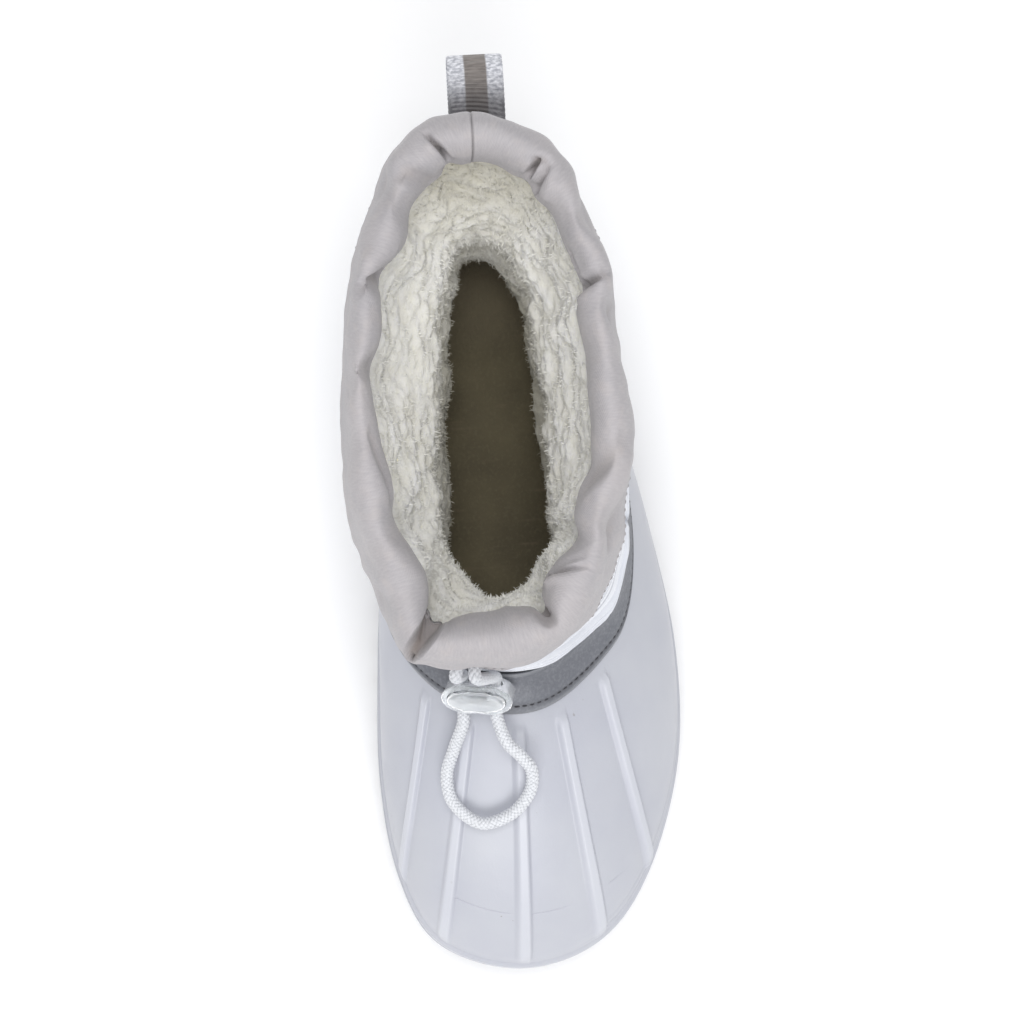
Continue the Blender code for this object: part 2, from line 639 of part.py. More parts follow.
def slit_cutter(name):
    """A flat oval through the collar's front wall, for the drawcord to come out."""
    _, _, across, _ = lock_frame()
    out = outward(np.array([LOCK_PLACE]), SLIT_PLACE)[0]
    rise = np.cross(out, across)
    points, faces, size = [], [], 20
    for depth in (-CUFF_SLACK - GAP, CUFF_WALL + 2 * FOLD_DEPTH):
        for k in range(size):
            angle = 2 * math.pi * k / size
            wide = (SLIT_WIDTH - SLIT_HEIGHT) / 2 * np.sign(math.cos(angle))
            wide += SLIT_HEIGHT / 2 * math.cos(angle)
            high = SLIT_HEIGHT / 2 * math.sin(angle)
            points.append((slit_middle(depth) + across * wide + rise * high).tolist())
    for c in range(size):
        d = (c + 1) % size
        faces.append((c, d, size + d, size + c))
    faces += [list(range(size)), list(range(size, 2 * size))]
    mesh = bpy.data.meshes.new(name)
    mesh.from_pydata(points, [], faces)
    return mesh


def lock_outline(inset, count):
    """The lock's two-lobed plan."""
    angle = np.arange(count) / count * 2 * math.pi
    wide = (LOCK_WIDTH / 2 - inset) * np.sign(np.cos(angle)) * np.abs(np.cos(angle)) ** 0.8
    waist = 1 - 0.10 * np.exp(-((wide / LOCK_WAIST) ** 2))
    return wide, (LOCK_LENGTH / 2 - inset) * np.sin(angle) * waist


def lock_solid(name, levels):
    """A solid on the lock's plan: levels of inset and height, closed at both ends."""
    points, faces, size = [], [], 24
    for inset, height in levels:
        wide, length = lock_outline(inset, size)
        points += [(x, y, height) for x, y in zip(wide, length)]
    for r in range(len(levels) - 1):
        for c in range(size):
            d = (c + 1) % size
            faces.append((r * size + c, r * size + d, (r + 1) * size + d, (r + 1) * size + c))
    for base in (0, (len(levels) - 1) * size):
        for c in range(1, size // 2):
            ends = [c, (c + 1) % size, (size - c - 1) % size, (size - c) % size]
            if c == 1:
                faces.append([base, base + 1, base + size - 1])
            if c < size // 2 - 1:
                faces.append([base + k for k in ends])
            else:
                faces.append([base + c, base + c + 1, base + size - c])
    mesh = bpy.data.meshes.new(name)
    mesh.from_pydata(points, [], faces)
    return mesh


def cord_channels(name, down):
    """Cutters for the two cords: round holes, drawn out downward into slots by a distance."""
    radius = CORD_DIAMETER / 2 + CORD_CLEARANCE
    points, faces, size = [], [], 12
    for side in (-1, 1):
        for end in (-1, 1):
            for k in range(size):
                angle = 2 * math.pi * k / size
                rise = radius * math.sin(angle)
                if down and rise > 1e-6:
                    rise += BUTTON_TRAVEL
                elif rise < -1e-6:
                    rise -= down
                points.append((side * CORD_SPACING / 2 + radius * math.cos(angle), end * LOCK_LENGTH, rise))
        base = len(points) - 2 * size
        for c in range(size):
            d = (c + 1) % size
            faces.append((base + c, base + d, base + size + d, base + size + c))
        faces.append([base + c for c in range(size)])
        faces.append([base + size + c for c in range(size)])
    mesh = bpy.data.meshes.new(name)
    mesh.from_pydata(points, [], faces)
    return mesh


def make_lock(body_finish, button_finish):
    """The cord lock: a cup, and a sprung button that slides into it, both with holes for the two cords."""
    low, rim = -LOCK_CUP / 2, LOCK_CUP / 2
    floor = low + LOCK_WALL
    levels = [(LOCK_ROUND, low), (0.0, low + LOCK_ROUND), (0.0, rim)]
    body = seat_in_lock(add_object("cord_lock_body", lock_solid("cord_lock_body", levels), body_finish))
    hollow = [(LOCK_WALL, floor), (LOCK_WALL, rim + LOCK_WALL)]
    seat_in_lock(cut(body, "cup_hollow", lock_solid("cup_hollow", hollow)))
    seat_in_lock(cut(body, "cup_cord_holes", cord_channels("cup_cord_holes", 0.0)))
    inset = LOCK_WALL + GAP
    start, top = floor + GAP + BUTTON_TRAVEL, rim + BUTTON_STAND + GAP
    levels = [(inset, start), (inset, top - LOCK_ROUND), (inset + LOCK_ROUND, top)]
    mesh = lock_solid("cord_lock_button", levels)
    button = seat_in_lock(add_object("cord_lock_button", mesh, button_finish))
    seat_in_lock(cut(button, "button_cord_slots", cord_channels("button_cord_slots", LOCK_CUP)))


def smooth_route(points, spacing):
    """Points on a smooth curve through the given points, which it keeps."""
    points = np.array(points)
    ends = np.vstack([2 * points[0] - points[1], points, 2 * points[-1] - points[-2]])
    route = []
    for k in range(len(points) - 1):
        a, b, c, d = ends[k : k + 4]
        steps = max(1, round(np.linalg.norm(c - b) / spacing))
        for f in np.arange(steps) / steps:
            route.append(through(a, b, c, d, f))
    return np.array([*route, points[-1]])


def over_shell(x, y):
    """Height of the shell's skin over a place in plan."""
    u = np.linspace((FIRST_RIB - 1) / len(LINES), (LAST_RIB + 1) / len(LINES), 120)
    places = np.linspace(0.25, 1.12, 60)
    cloud = np.concatenate([layer(u, t, RIB_HEIGHT) for t in places])
    near = np.argsort((cloud[:, 0] - x) ** 2 + (cloud[:, 1] - y) ** 2)[:4]
    return float(cloud[near, 2].max())


def cord_route():
    """The drawcord's middle line, from the collar's front, through the lock, round the loop and back."""
    middle, along, across, out = lock_frame()
    half, beside = CORD_SPACING / 2, CORD_DIAMETER / 2 + GAP
    slit = slit_middle(0.0)
    bend = slit_middle(CORD_DIAMETER + CORD_BEND) + along * CORD_BEND
    first, last = [], []
    for side, strand in ((-1, first), (1, last)):
        strand += [slit + across * side * beside, bend + across * side * (beside + CORD_BEND)]
        for forward in (-0.62, -0.4, 0.4, 0.62):
            strand.append(middle + along * forward * LOCK_LENGTH + across * side * half)
    level = np.array([along[0], along[1], 0.0])
    level /= np.linalg.norm(level)
    loop = []
    for forward, side, lift in LOOP_ROUTE:
        spot = middle + level * (LOCK_LENGTH * 0.5 + forward * LOOP_LENGTH) + across * side * LOOP_WIDTH
        spot[2] = over_shell(spot[0], spot[1]) + CORD_DIAMETER / 2 + lift
        loop.append(spot)
    return [*first, *loop, *reversed(last)]


def make_drawcord(finish):
    curve = bpy.data.curves.new("drawcord", "CURVE")
    curve.dimensions = "3D"
    curve.bevel_depth = CORD_DIAMETER / 2
    curve.bevel_resolution = 2
    curve.use_fill_caps = True
    route = smooth_route(cord_route(), CORD_DIAMETER)
    spline = curve.splines.new("POLY")
    spline.points.add(len(route) - 1)
    for point, spot in zip(spline.points, route):
        point.co = (*spot, 1.0)
    curve.materials.append(finish)
    made = bpy.data.objects.new("drawcord", curve)
    bpy.context.scene.collection.objects.link(made)
    return made


def main():
    for old in list(bpy.data.objects):
        bpy.data.objects.remove(old)
    make_outsole(material("sole_white", (0.78, 0.78, 0.82), 0.55))
    make_insole(material("footbed_brown", (0.10, 0.08, 0.05), 0.95))
    make_shell(material("shell_white", (0.80, 0.80, 0.84), 0.38))
    make_shaft(material("shaft_white", (0.82, 0.82, 0.82), 0.45))
    make_band(material("band_grey", (0.26, 0.26, 0.28), 0.60))
    make_lining(material("fleece_cream", (0.80, 0.78, 0.70), 1.0))
    make_cuff(material("cuff_grey", (0.58, 0.55, 0.55), 0.85))
    make_pull_loop(material("tape_silver", (0.62, 0.62, 0.66), 0.60))
    clear = material("lock_clear", (0.85, 0.86, 0.87), 0.25)
    make_lock(clear, material("button_clear", (0.88, 0.89, 0.90), 0.25))
    make_drawcord(material("cord_white", (0.85, 0.85, 0.84), 0.80))


main()
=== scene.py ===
"""The looks of a left winter boot seen from above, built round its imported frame.

Metres, +Z up, +X towards the toe, +Y the outer side. A place round the boot (u) goes from 0 at the
heel's back by the outer side to 1. A place up the skin (t) goes from 0 at the sole by 1 at the shell's top
edge to 2 at the collar.
"""

import math

import bmesh
import bpy
import numpy as np
from mathutils import Matrix, Vector


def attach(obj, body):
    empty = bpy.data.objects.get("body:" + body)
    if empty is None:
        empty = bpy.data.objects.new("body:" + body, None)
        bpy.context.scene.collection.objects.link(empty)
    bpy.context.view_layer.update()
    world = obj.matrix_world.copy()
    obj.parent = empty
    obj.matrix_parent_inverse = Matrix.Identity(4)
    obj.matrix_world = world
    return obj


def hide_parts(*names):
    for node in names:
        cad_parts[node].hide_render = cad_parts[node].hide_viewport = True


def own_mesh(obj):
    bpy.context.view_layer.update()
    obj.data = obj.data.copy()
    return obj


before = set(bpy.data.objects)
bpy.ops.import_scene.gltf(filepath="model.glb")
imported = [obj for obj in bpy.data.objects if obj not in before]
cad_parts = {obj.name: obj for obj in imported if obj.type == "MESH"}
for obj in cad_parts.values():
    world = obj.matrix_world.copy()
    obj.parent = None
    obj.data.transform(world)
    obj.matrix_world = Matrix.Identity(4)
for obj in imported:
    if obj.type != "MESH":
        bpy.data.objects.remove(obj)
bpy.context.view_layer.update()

# Sizes of the last and the sole
SHOE_LENGTH = 0.279
BALL_WIDTH = 0.110
HEEL_CENTRE = 0.040
HEEL_HEIGHT = 0.030
SOLE_HEIGHT = 0.021
TOE_SPRING = 0.009
ARCH_RISE = 0.006
LUG_DEPTH = 0.0045
GROOVE_WIDTH = 0.0050
SOLE_STEP = 0.0018
SOLE_STEP_HEIGHT = 0.0060
SOLE_RIM = 0.0022
SOLE_ROUND = 0.0010
SIPE_WIDTH = 0.0008
SIPE_DEPTH = 0.0016

# Sizes of the upper
INSTEP_HEIGHT = 0.092
COLLAR_LENGTH = 0.163
COLLAR_WIDTH = 0.084
COLLAR_SETBACK = 0.0038
COLLAR_HEIGHT = 0.184
COLLAR_BULGE = 0.0030
SHELL_WALL = 0.0035
SHELL_EDGE = 0.0020
SHELL_LEDGE = 0.0010
SHELL_BULGE = 0.0035
RIB_HEIGHT = 0.0017
RIB_WIDTH = 0.0072
RIB_END = 0.872
SHAFT_WALL = 0.0020
SHAFT_TUCK = 0.0042
SHAFT_SEAMS = (0.0, 0.27, 0.73)
BAND_WALL = 0.0014
BAND_LOW, BAND_HIGH = 0.935, 1.11
CUFF_WALL = 0.0016
CUFF_ROLL_HEIGHT = 0.0140
CUFF_FLAP = 0.0060
HEM_LIFT, HEM_LIFT_PLACE, HEM_LIFT_WIDTH = 0.13, 0.345, 0.080
ROLL_ANGLES = (0, 25, 50, 75, 100, 125, 150, 180)
ROLL_STEPS = 5
CUFF_SLACK = 0.0008
CUFF_PUFF = 0.0008
CUFF_TOP = 1.93
LINING_WALL = 0.0105
LINING_FOOT = 0.0080
LINING_SLACK = 0.0120
PILE_LIFT, FIBRE_LIFT = 2.2, 4.0
FIBRES = 25000
FIBRE_LENGTH = 0.0014
INSOLE_THICKNESS = 0.0040
GAP = 0.0003

# Sizes of the stitches
BAND_STITCH = 0.0018
HEM_STITCH = 0.0048
STITCH_LENGTH = 0.0018
STITCH_SPACING = 0.0026
STITCH_THICKNESS = 0.00022

# Sizes of the fittings
TAPE_WIDTH = 0.0175
TAPE_THICKNESS = 0.0012
TAPE_REACH = 0.0265
TAPE_PLACE = 0.008
TAPE_OPENING = 0.011
TAPE_RIB = 0.0014
CORD_DIAMETER = 0.0042
CORD_SPACING = 0.0110
CORD_CLEARANCE = 0.0006
BRAID_PITCH = 0.0090
BRAID_RELIEF = 0.00044
LOCK_WIDTH = 0.0235
LOCK_LENGTH = 0.0110
LOCK_CUP = 0.0090
LOCK_WALL = 0.0016
LOCK_ROUND = 0.0012
LOCK_WAIST = 0.0032
LOCK_STAND = 0.0018
LOCK_PLACE = 0.5417
LOCK_HEIGHT_PLACE = 1.09
BUTTON_STAND = 0.0030
BUTTON_TRAVEL = 0.0030
EAR_STEP, EAR_START = 0.0007, 0.0040
SPRING_RADIUS = 0.0017
SPRING_WIRE = 0.00030
SLIT_PLACE = 1.46
SLIT_WIDTH = 0.0104
SLIT_HEIGHT = 0.0050

# One row for each line up the boot, heel to toe by the outer side and back by the inner side.
# edge, top and collar: shares of the lengths, widths and heights above. hem: place of the collar's lower
# edge. slack: how far the fleece stands in from its wall, as a share.
LINE_COLUMNS = [
    "edge_along", "edge_side", "top_along", "top_side", "top_height",
    "collar_along", "collar_side", "collar_height", "hem", "slack",
]
LINES = [
    (0.000, 0.000, 0.013, -0.010, 0.880, 0.000, -0.042, 1.000, 1.72, 0.85),
    (0.032, 0.240, 0.047, 0.200, 0.860, 0.084, 0.244, 1.000, 1.72, 0.74),
    (0.136, 0.365, 0.143, 0.327, 0.800, 0.241, 0.395, 0.995, 1.71, 0.55),
    (0.287, 0.430, 0.258, 0.382, 0.745, 0.447, 0.429, 0.985, 1.70, 0.60),
    (0.440, 0.520, 0.358, 0.418, 0.735, 0.605, 0.452, 0.975, 1.68, 0.85),
    (0.600, 0.589, 0.459, 0.423, 0.765, 0.744, 0.411, 0.960, 1.62, 0.85),
    (0.750, 0.577, 0.538, 0.382, 0.835, 0.853, 0.351, 0.940, 1.50, 0.84),
    (0.887, 0.462, 0.577, 0.295, 0.910, 0.938, 0.226, 0.920, 1.40, 0.95),
    (0.970, 0.292, 0.614, 0.164, 0.975, 0.990, 0.048, 0.910, 1.35, 0.72),
    (0.998, 0.040, 0.626, 0.050, 1.000, 1.000, -0.119, 0.910, 1.34, 0.60),
    (0.962, -0.212, 0.617, -0.086, 0.985, 0.993, -0.268, 0.910, 1.34, 0.70),
    (0.878, -0.324, 0.588, -0.210, 0.925, 0.941, -0.387, 0.920, 1.38, 0.85),
    (0.755, -0.366, 0.538, -0.305, 0.850, 0.853, -0.452, 0.940, 1.48, 0.85),
    (0.605, -0.350, 0.459, -0.341, 0.780, 0.750, -0.506, 0.960, 1.60, 0.75),
    (0.445, -0.316, 0.358, -0.350, 0.750, 0.611, -0.536, 0.975, 1.68, 0.75),
    (0.287, -0.305, 0.254, -0.336, 0.755, 0.447, -0.518, 0.985, 1.70, 0.80),
    (0.136, -0.330, 0.143, -0.309, 0.805, 0.241, -0.452, 0.995, 1.71, 0.85),
    (0.032, -0.228, 0.047, -0.205, 0.860, 0.072, -0.300, 1.000, 1.72, 0.78),
]
FIRST_RIB = 7
LAST_RIB = 11
SPINE = ((0.06 * HEEL_CENTRE, 0.03 * BALL_WIDTH), (0.27 * SHOE_LENGTH, 0.04 * BALL_WIDTH))

# The sole from the side, heel to toe: its top, the rise of its tread in the arch, and that of the toe
SIDE_COLUMNS = ["along", "top", "under", "spring"]
SIDE = [
    (0.000, 1.00, 0.25, 0.00), (0.008, 1.00, 0.08, 0.00), (0.025, 1.00, 0.00, 0.00), (0.170, 1.00, 0.00, 0.00),
    (0.255, 0.97, 0.00, 0.00), (0.275, 0.94, 0.92, 0.00), (0.330, 0.80, 1.00, 0.00), (0.390, 0.58, 0.82, 0.00),
    (0.440, 0.38, 0.30, 0.00), (0.460, 0.30, 0.00, 0.00), (0.530, 0.10, 0.00, 0.00), (0.600, 0.00, 0.00, 0.00),
    (0.670, 0.00, 0.00, 0.00), (0.740, 0.03, 0.00, 0.00), (0.800, 0.14, 0.00, 0.10), (0.850, 0.28, 0.00, 0.25),
    (0.895, 0.44, 0.00, 0.42), (0.930, 0.58, 0.00, 0.59), (0.958, 0.68, 0.00, 0.74), (0.980, 0.75, 0.00, 0.87),
    (0.993, 0.79, 0.00, 0.96), (1.000, 0.80, 0.00, 1.00),
]
# Cross grooves of the tread, as shares of the length: where their middle is, and how far their ends trail it
GROOVES = [
    (0.065, 0.012), (0.112, 0.012), (0.178, 0.012), (0.222, 0.012),
    (0.500, 0.016), (0.548, 0.018), (0.596, 0.020), (0.644, 0.022), (0.692, 0.024), (0.740, 0.026),
    (0.788, 0.028), (0.836, 0.030), (0.884, 0.032), (0.930, 0.034),
]

# How far the rolled collar's inner edge lies inside the collar's widest line, by place round the boot
EDGE_REACH = [
    (0.000, 0.0125), (0.032, 0.0100), (0.040, 0.0107), (0.052, 0.0085), (0.066, 0.0108), (0.080, 0.0090),
    (0.103, 0.0097), (0.121, 0.0082), (0.133, 0.0062), (0.142, 0.0100), (0.164, 0.0078), (0.190, 0.0096),
    (0.221, 0.0098), (0.245, 0.0093), (0.262, 0.0122), (0.287, 0.0125), (0.305, 0.0098), (0.320, 0.0110),
    (0.345, 0.0137), (0.371, 0.0140), (0.384, 0.0127), (0.396, 0.0095), (0.409, 0.0055), (0.420, 0.0105),
    (0.444, 0.0137), (0.481, 0.0127), (0.508, 0.0126), (0.536, 0.0113), (0.567, 0.0093), (0.585, 0.0070),
    (0.602, 0.0080), (0.614, 0.0098), (0.643, 0.0126), (0.660, 0.0134), (0.698, 0.0112), (0.717, 0.0092),
    (0.731, 0.0082), (0.745, 0.0102), (0.769, 0.0096), (0.801, 0.0081), (0.821, 0.0062), (0.833, 0.0050),
    (0.848, 0.0076), (0.858, 0.0080), (0.871, 0.0063), (0.884, 0.0062), (0.895, 0.0100), (0.904, 0.0114),
    (0.922, 0.0083), (0.943, 0.0108), (0.957, 0.0118), (0.969, 0.0088), (0.980, 0.0122),
]
# How far the rolled collar's outer side lies outside the collar's widest line, by place round the boot
SIDE_REACH = [
    (0.000, 0.0028), (0.021, 0.0036), (0.048, 0.0048), (0.061, 0.0034), (0.076, 0.0019), (0.091, 0.0002),
    (0.098, -0.0008), (0.110, 0.0009), (0.121, 0.0025), (0.133, 0.0028), (0.141, 0.0021), (0.149, 0.0008),
    (0.161, 0.0021), (0.186, 0.0023), (0.206, 0.0031), (0.238, 0.0028), (0.260, 0.0017), (0.292, -0.0005),
    (0.313, 0.0003), (0.341, 0.0013), (0.387, 0.0032), (0.409, 0.0050), (0.441, 0.0055), (0.460, 0.0052),
    (0.515, 0.0030), (0.560, 0.0038), (0.573, 0.0050), (0.581, 0.0072), (0.590, 0.0052), (0.610, 0.0034),
    (0.645, 0.0027), (0.713, 0.0020), (0.745, 0.0023), (0.795, 0.0022), (0.847, 0.0021), (0.870, 0.0030),
    (0.905, 0.0020), (0.925, 0.0013), (0.943, 0.0040), (0.956, 0.0048), (0.972, 0.0051), (0.987, 0.0024),
]
# Creases of the collar: from a place round it and a way out from its inner edge to another such pair,
# half their width at both ends, their depth at both ends, and the side whose cloth laps over (0: none)
CREASES = [
    (0.9652, 0.0195, 0.9692, 0.0050, 0.0009, 0.0010, 0.0036, 0.0042, -1),
    (0.9380, 0.0175, 0.9480, 0.0010, 0.0040, 0.0044, 0.0030, 0.0016, 0),
    (0.9250, 0.0330, 0.9200, 0.0120, 0.0060, 0.0050, 0.0020, 0.0014, 0),
    (0.0522, 0.0060, 0.0508, 0.0145, 0.0012, 0.0011, 0.0050, 0.0046, 1),
    (0.0480, 0.0150, 0.0570, 0.0172, 0.0012, 0.0014, 0.0020, 0.0016, 0),
    (0.0582, 0.0160, 0.0645, 0.0050, 0.0016, 0.0022, 0.0022, 0.0026, 1),
    (0.8738, 0.0170, 0.8840, 0.0030, 0.0024, 0.0034, 0.0030, 0.0028, 1),
    (0.8310, 0.0150, 0.8362, 0.0030, 0.0030, 0.0040, 0.0014, 0.0016, 0),
    (0.8200, 0.0300, 0.8280, 0.0180, 0.0060, 0.0040, 0.0012, 0.0012, 0),
    (0.7900, 0.0110, 0.7450, 0.0050, 0.0040, 0.0030, 0.0016, 0.0020, 0),
    (0.7760, 0.0400, 0.7860, 0.0160, 0.0080, 0.0070, 0.0012, 0.0012, 0),
    (0.6900, 0.0360, 0.7080, 0.0100, 0.0080, 0.0060, 0.0014, 0.0012, 0),
    (0.6500, 0.0500, 0.6420, 0.0160, 0.0060, 0.0060, 0.0016, 0.0012, 0),
    (0.1120, 0.0030, 0.1315, 0.0046, 0.0012, 0.0013, 0.0026, 0.0036, 0),
    (0.1350, 0.0010, 0.1292, 0.0175, 0.0013, 0.0017, 0.0036, 0.0024, 1),
    (0.0995, 0.0330, 0.0930, 0.0120, 0.0044, 0.0050, 0.0022, 0.0012, 0),
    (0.1490, 0.0360, 0.1410, 0.0150, 0.0044, 0.0040, 0.0022, 0.0012, 0),
    (0.2260, 0.0200, 0.2560, 0.0050, 0.0050, 0.0050, 0.0018, 0.0022, 0),
    (0.2950, 0.0450, 0.2850, 0.0160, 0.0090, 0.0070, 0.0024, 0.0014, 0),
    (0.3780, 0.0015, 0.3400, 0.0170, 0.0012, 0.0015, 0.0038, 0.0012, 1),
    (0.3650, 0.0040, 0.3300, 0.0130, 0.0018, 0.0024, 0.0016, 0.0006, 0),
    (0.4040, -0.0030, 0.4084, 0.0095, 0.0019, 0.0002, 0.0052, 0.0010, 0),
    (0.9690, 0.0034, 0.9999, 0.0034, 0.0006, 0.0006, 0.0007, 0.0007, 0),
    (0.0001, 0.0034, 0.0310, 0.0034, 0.0006, 0.0006, 0.0007, 0.0007, 0),
    (0.4072, 0.0070, 0.4170, 0.0310, 0.0018, 0.0048, 0.0020, 0.0008, 0),
    (0.4600, 0.0500, 0.4500, 0.0260, 0.0080, 0.0060, 0.0012, 0.0006, 0),
    (0.5300, 0.0180, 0.5060, 0.0120, 0.0050, 0.0060, 0.0012, 0.0008, 0),
    (0.5450, 0.0480, 0.5480, 0.0240, 0.0050, 0.0060, 0.0012, 0.0006, 0),
]
BACK_SEAM_SIDE = -0.0036
# The deep fold beside the collar's front, where the roll is folded down: from its inner edge to its lower end
FOLD_PLACE, FOLD_END = 0.5905, 0.5797
FOLD_OUT = 0.0458
FOLD_HALF, FOLD_END_HALF = 0.0072, 0.0004
FOLD_STEEP, FOLD_GENTLE = 0.0014, 0.0024
FOLD_RISE = 0.0036
FOLD_REACH = 0.0085
FOLD_GROOVE = 0.0030

# The shaft's folds over the trim: place up it, half width and height
GLOSSY_FOLDS = (
    (1.155, 0.010, 0.0018), (1.190, 0.009, 0.0020), (1.226, 0.010, 0.0020), (1.275, 0.018, 0.0010),
)
# The painted shade lines between those folds and above them, as places up the shaft
FOLD_LINES = (1.136, 1.172, 1.208, 1.250, 1.305, 1.365, 1.435, 1.520, 1.610)

# The drawcord's middle line: out of the slit, through the lock, round the loop and back
CORD_ROUTE = [
    (0.1229, -0.0139, 0.1201), (0.1288, -0.0159, 0.1198), (0.1295, -0.0131, 0.1019), (0.1316, -0.0131, 0.1008),
    (0.1394, -0.0131, 0.0967), (0.1415, -0.0131, 0.0955), (0.1465, -0.0136, 0.0938), (0.1549, -0.0168, 0.0875),
    (0.1642, -0.0197, 0.0824), (0.1740, -0.0180, 0.0805), (0.1815, -0.0093, 0.0808), (0.1791, 0.0009, 0.0829),
    (0.1719, 0.0076, 0.0869), (0.1640, 0.0088, 0.0916), (0.1588, 0.0056, 0.0941), (0.1535, 0.0009, 0.0955),
    (0.1476, -0.0014, 0.0965), (0.1428, -0.0025, 0.0980), (0.1407, -0.0025, 0.0991), (0.1329, -0.0025, 0.1032),
    (0.1307, -0.0025, 0.1043), (0.1296, -0.0093, 0.1213), (0.1235, -0.0092, 0.1212),
]

# The camera, over the boot and a little to its inner side
CAMERA_PLACE = (0.0737, -0.0450, 1.0600)
CAMERA_TARGET = (0.0762, 0.0095, 0.0500)
CAMERA_TURN = math.radians(3.4)
LENS = 100.9


def column(name):
    return np.array([row[LINE_COLUMNS.index(name)] for row in LINES])


def through(a, b, c, d, f):
    """The smooth curve through four values, read from the second (f is 0) to the third (f is 1)."""
    return 0.5 * (2 * b + (c - a) * f + (2 * a - 5 * b + 4 * c - d) * f**2 + (3 * b - a - 3 * c + d) * f**3)


def around(name, u):
    """A column of LINES as a closed smooth curve."""
    values = column(name)
    place = (np.asarray(u) % 1.0) * len(values)
    k = np.floor(place).astype(int)
    a, b, c, d = (values[(k + step) % len(values)] for step in (-1, 0, 1, 2))
    return through(a, b, c, d, place - k)


def ease(share):
    share = np.clip(share, 0.0, 1.0)
    return share * share * (3 - 2 * share)


def bell(away, wide):
    """1 where away is 0, falling off on both sides over a width."""
    return np.exp(-((away / wide) ** 2))


def side_view(name, x):
    rows = np.array(SIDE)
    along = (np.asarray(x) + HEEL_CENTRE) / SHOE_LENGTH
    return np.interp(along, rows[:, 0], rows[:, SIDE_COLUMNS.index(name)])


def sole_top(x):
    return SOLE_HEIGHT + (HEEL_HEIGHT - SOLE_HEIGHT) * side_view("top", x)


def sole_under(x):
    return ARCH_RISE * side_view("under", x) + TOE_SPRING * side_view("spring", x)


def edge_ring(u):
    x = around("edge_along", u) * SHOE_LENGTH - HEEL_CENTRE
    return np.stack([x, around("edge_side", u) * BALL_WIDTH, sole_top(x) + 2 * GAP], axis=-1)


def top_ring(u):
    x = around("top_along", u) * SHOE_LENGTH - HEEL_CENTRE
    return np.stack([x, around("top_side", u) * BALL_WIDTH, around("top_height", u) * INSTEP_HEIGHT], axis=-1)


def collar_ring(u):
    x = around("collar_along", u) * COLLAR_LENGTH - HEEL_CENTRE - COLLAR_SETBACK
    y = around("collar_side", u) * COLLAR_WIDTH
    return np.stack([x, y, around("collar_height", u) * COLLAR_HEIGHT], axis=-1)


def unit(vectors):
    return vectors / np.linalg.norm(vectors, axis=-1, keepdims=True)


def travelled(points):
    """Distance along a line of points, from its first one."""
    return np.concatenate([[0], np.cumsum(np.linalg.norm(np.diff(points, axis=0), axis=1))])


def closed_line(points):
    return np.concatenate([points, points[:1]])


def plan_normal(ring, u):
    run = ring(u + 1e-3) - ring(u - 1e-3)
    return -unit(np.stack([run[..., 1], -run[..., 0], 0 * run[..., 0]], axis=-1))


def bezier(points, t):
    a, b, c, d = points
    s = 1 - t
    return a * s**3 + 3 * b * s * s * t + 3 * c * s * t * t + d * t**3


def skin(u, t):
    """Points of the boot's outer skin, by place round it and place up it."""
    u, t = np.broadcast_arrays(u, np.clip(t, 0, 2))
    t = t[..., None]
    edge, top, collar = edge_ring(u), top_ring(u), collar_ring(u)
    rise = (top - edge) * [0, 0, 1]
    lower = top + 0.46 * (edge - top) * [1, 1, 0] - 0.27 * rise
    bulge = edge + SHELL_BULGE * plan_normal(edge_ring, u) + 0.58 * rise
    shell_part = bezier((edge, bulge, lower, top), np.minimum(t, 1))
    climb = (collar - top) * [0, 0, 1]
    turn = top + 0.32 * (top - lower) * [1, 1, 0] + 0.22 * climb
    puff = collar - 0.42 * climb + COLLAR_BULGE * plan_normal(collar_ring, u)
    return np.where(t <= 1, shell_part, bezier((top, turn, puff, collar), np.maximum(t - 1, 0)))


def outward(u, t):
    """Unit normals of the skin, pointing out."""
    t = np.clip(t, 2e-3, 2 - 2e-3)
    across = skin(u + 1e-3, t) - skin(u - 1e-3, t)
    upward = skin(u, t + 2e-3) - skin(u, t - 2e-3)
    return unit(np.cross(upward, across))


def layer(u, t, offset):
    """Points at a distance from the skin: outside it, or inside where the distance is negative."""
    return skin(u, t) + outward(u, t) * np.asarray(offset)[..., None]


def shell_wall(t):
    return SHELL_WALL + (SHELL_EDGE - SHELL_WALL) * ease((np.asarray(t) - 0.60) / 0.30)


def shaft_face(t):
    """How far the shaft's outer face lies inside the skin: within the shell, and then out to the skin."""
    return -(shell_wall(t) + 1.5 * GAP) * (1 - ease((np.asarray(t) - 1.0) / 0.18))


# Noise for the soft forms, on a grid of made-up but fixed numbers
def lattice(cell, seed):
    """A fixed number from 0 to 1 for each cell of space."""
    x, y, z = (cell[..., k].astype(np.int64) for k in range(3))
    value = (x * 73856093) ^ (y * 19349663) ^ (z * 83492791) ^ (seed * 83492791 + 12345)
    value = ((value ^ (value >> 13)) * 1274126177) & 0xFFFFFFFF
    value = ((value ^ (value >> 16)) * 668265263) & 0xFFFFFFFF
    return ((value ^ (value >> 15)) & 0xFFFFF) / 0xFFFFF


def soft_noise(points, size, seed=0):
    """Smooth noise from -1 to 1 over points, its lumps about a size across."""
    places = points / size
    cell = np.floor(places)
    f = ease(places - cell)
    total = 0
    for corner in np.ndindex(2, 2, 2):
        weight = np.prod(np.where(corner, f, 1 - f), axis=-1)
        total = total + weight * lattice(cell + corner, seed)
    return 2 * total - 1


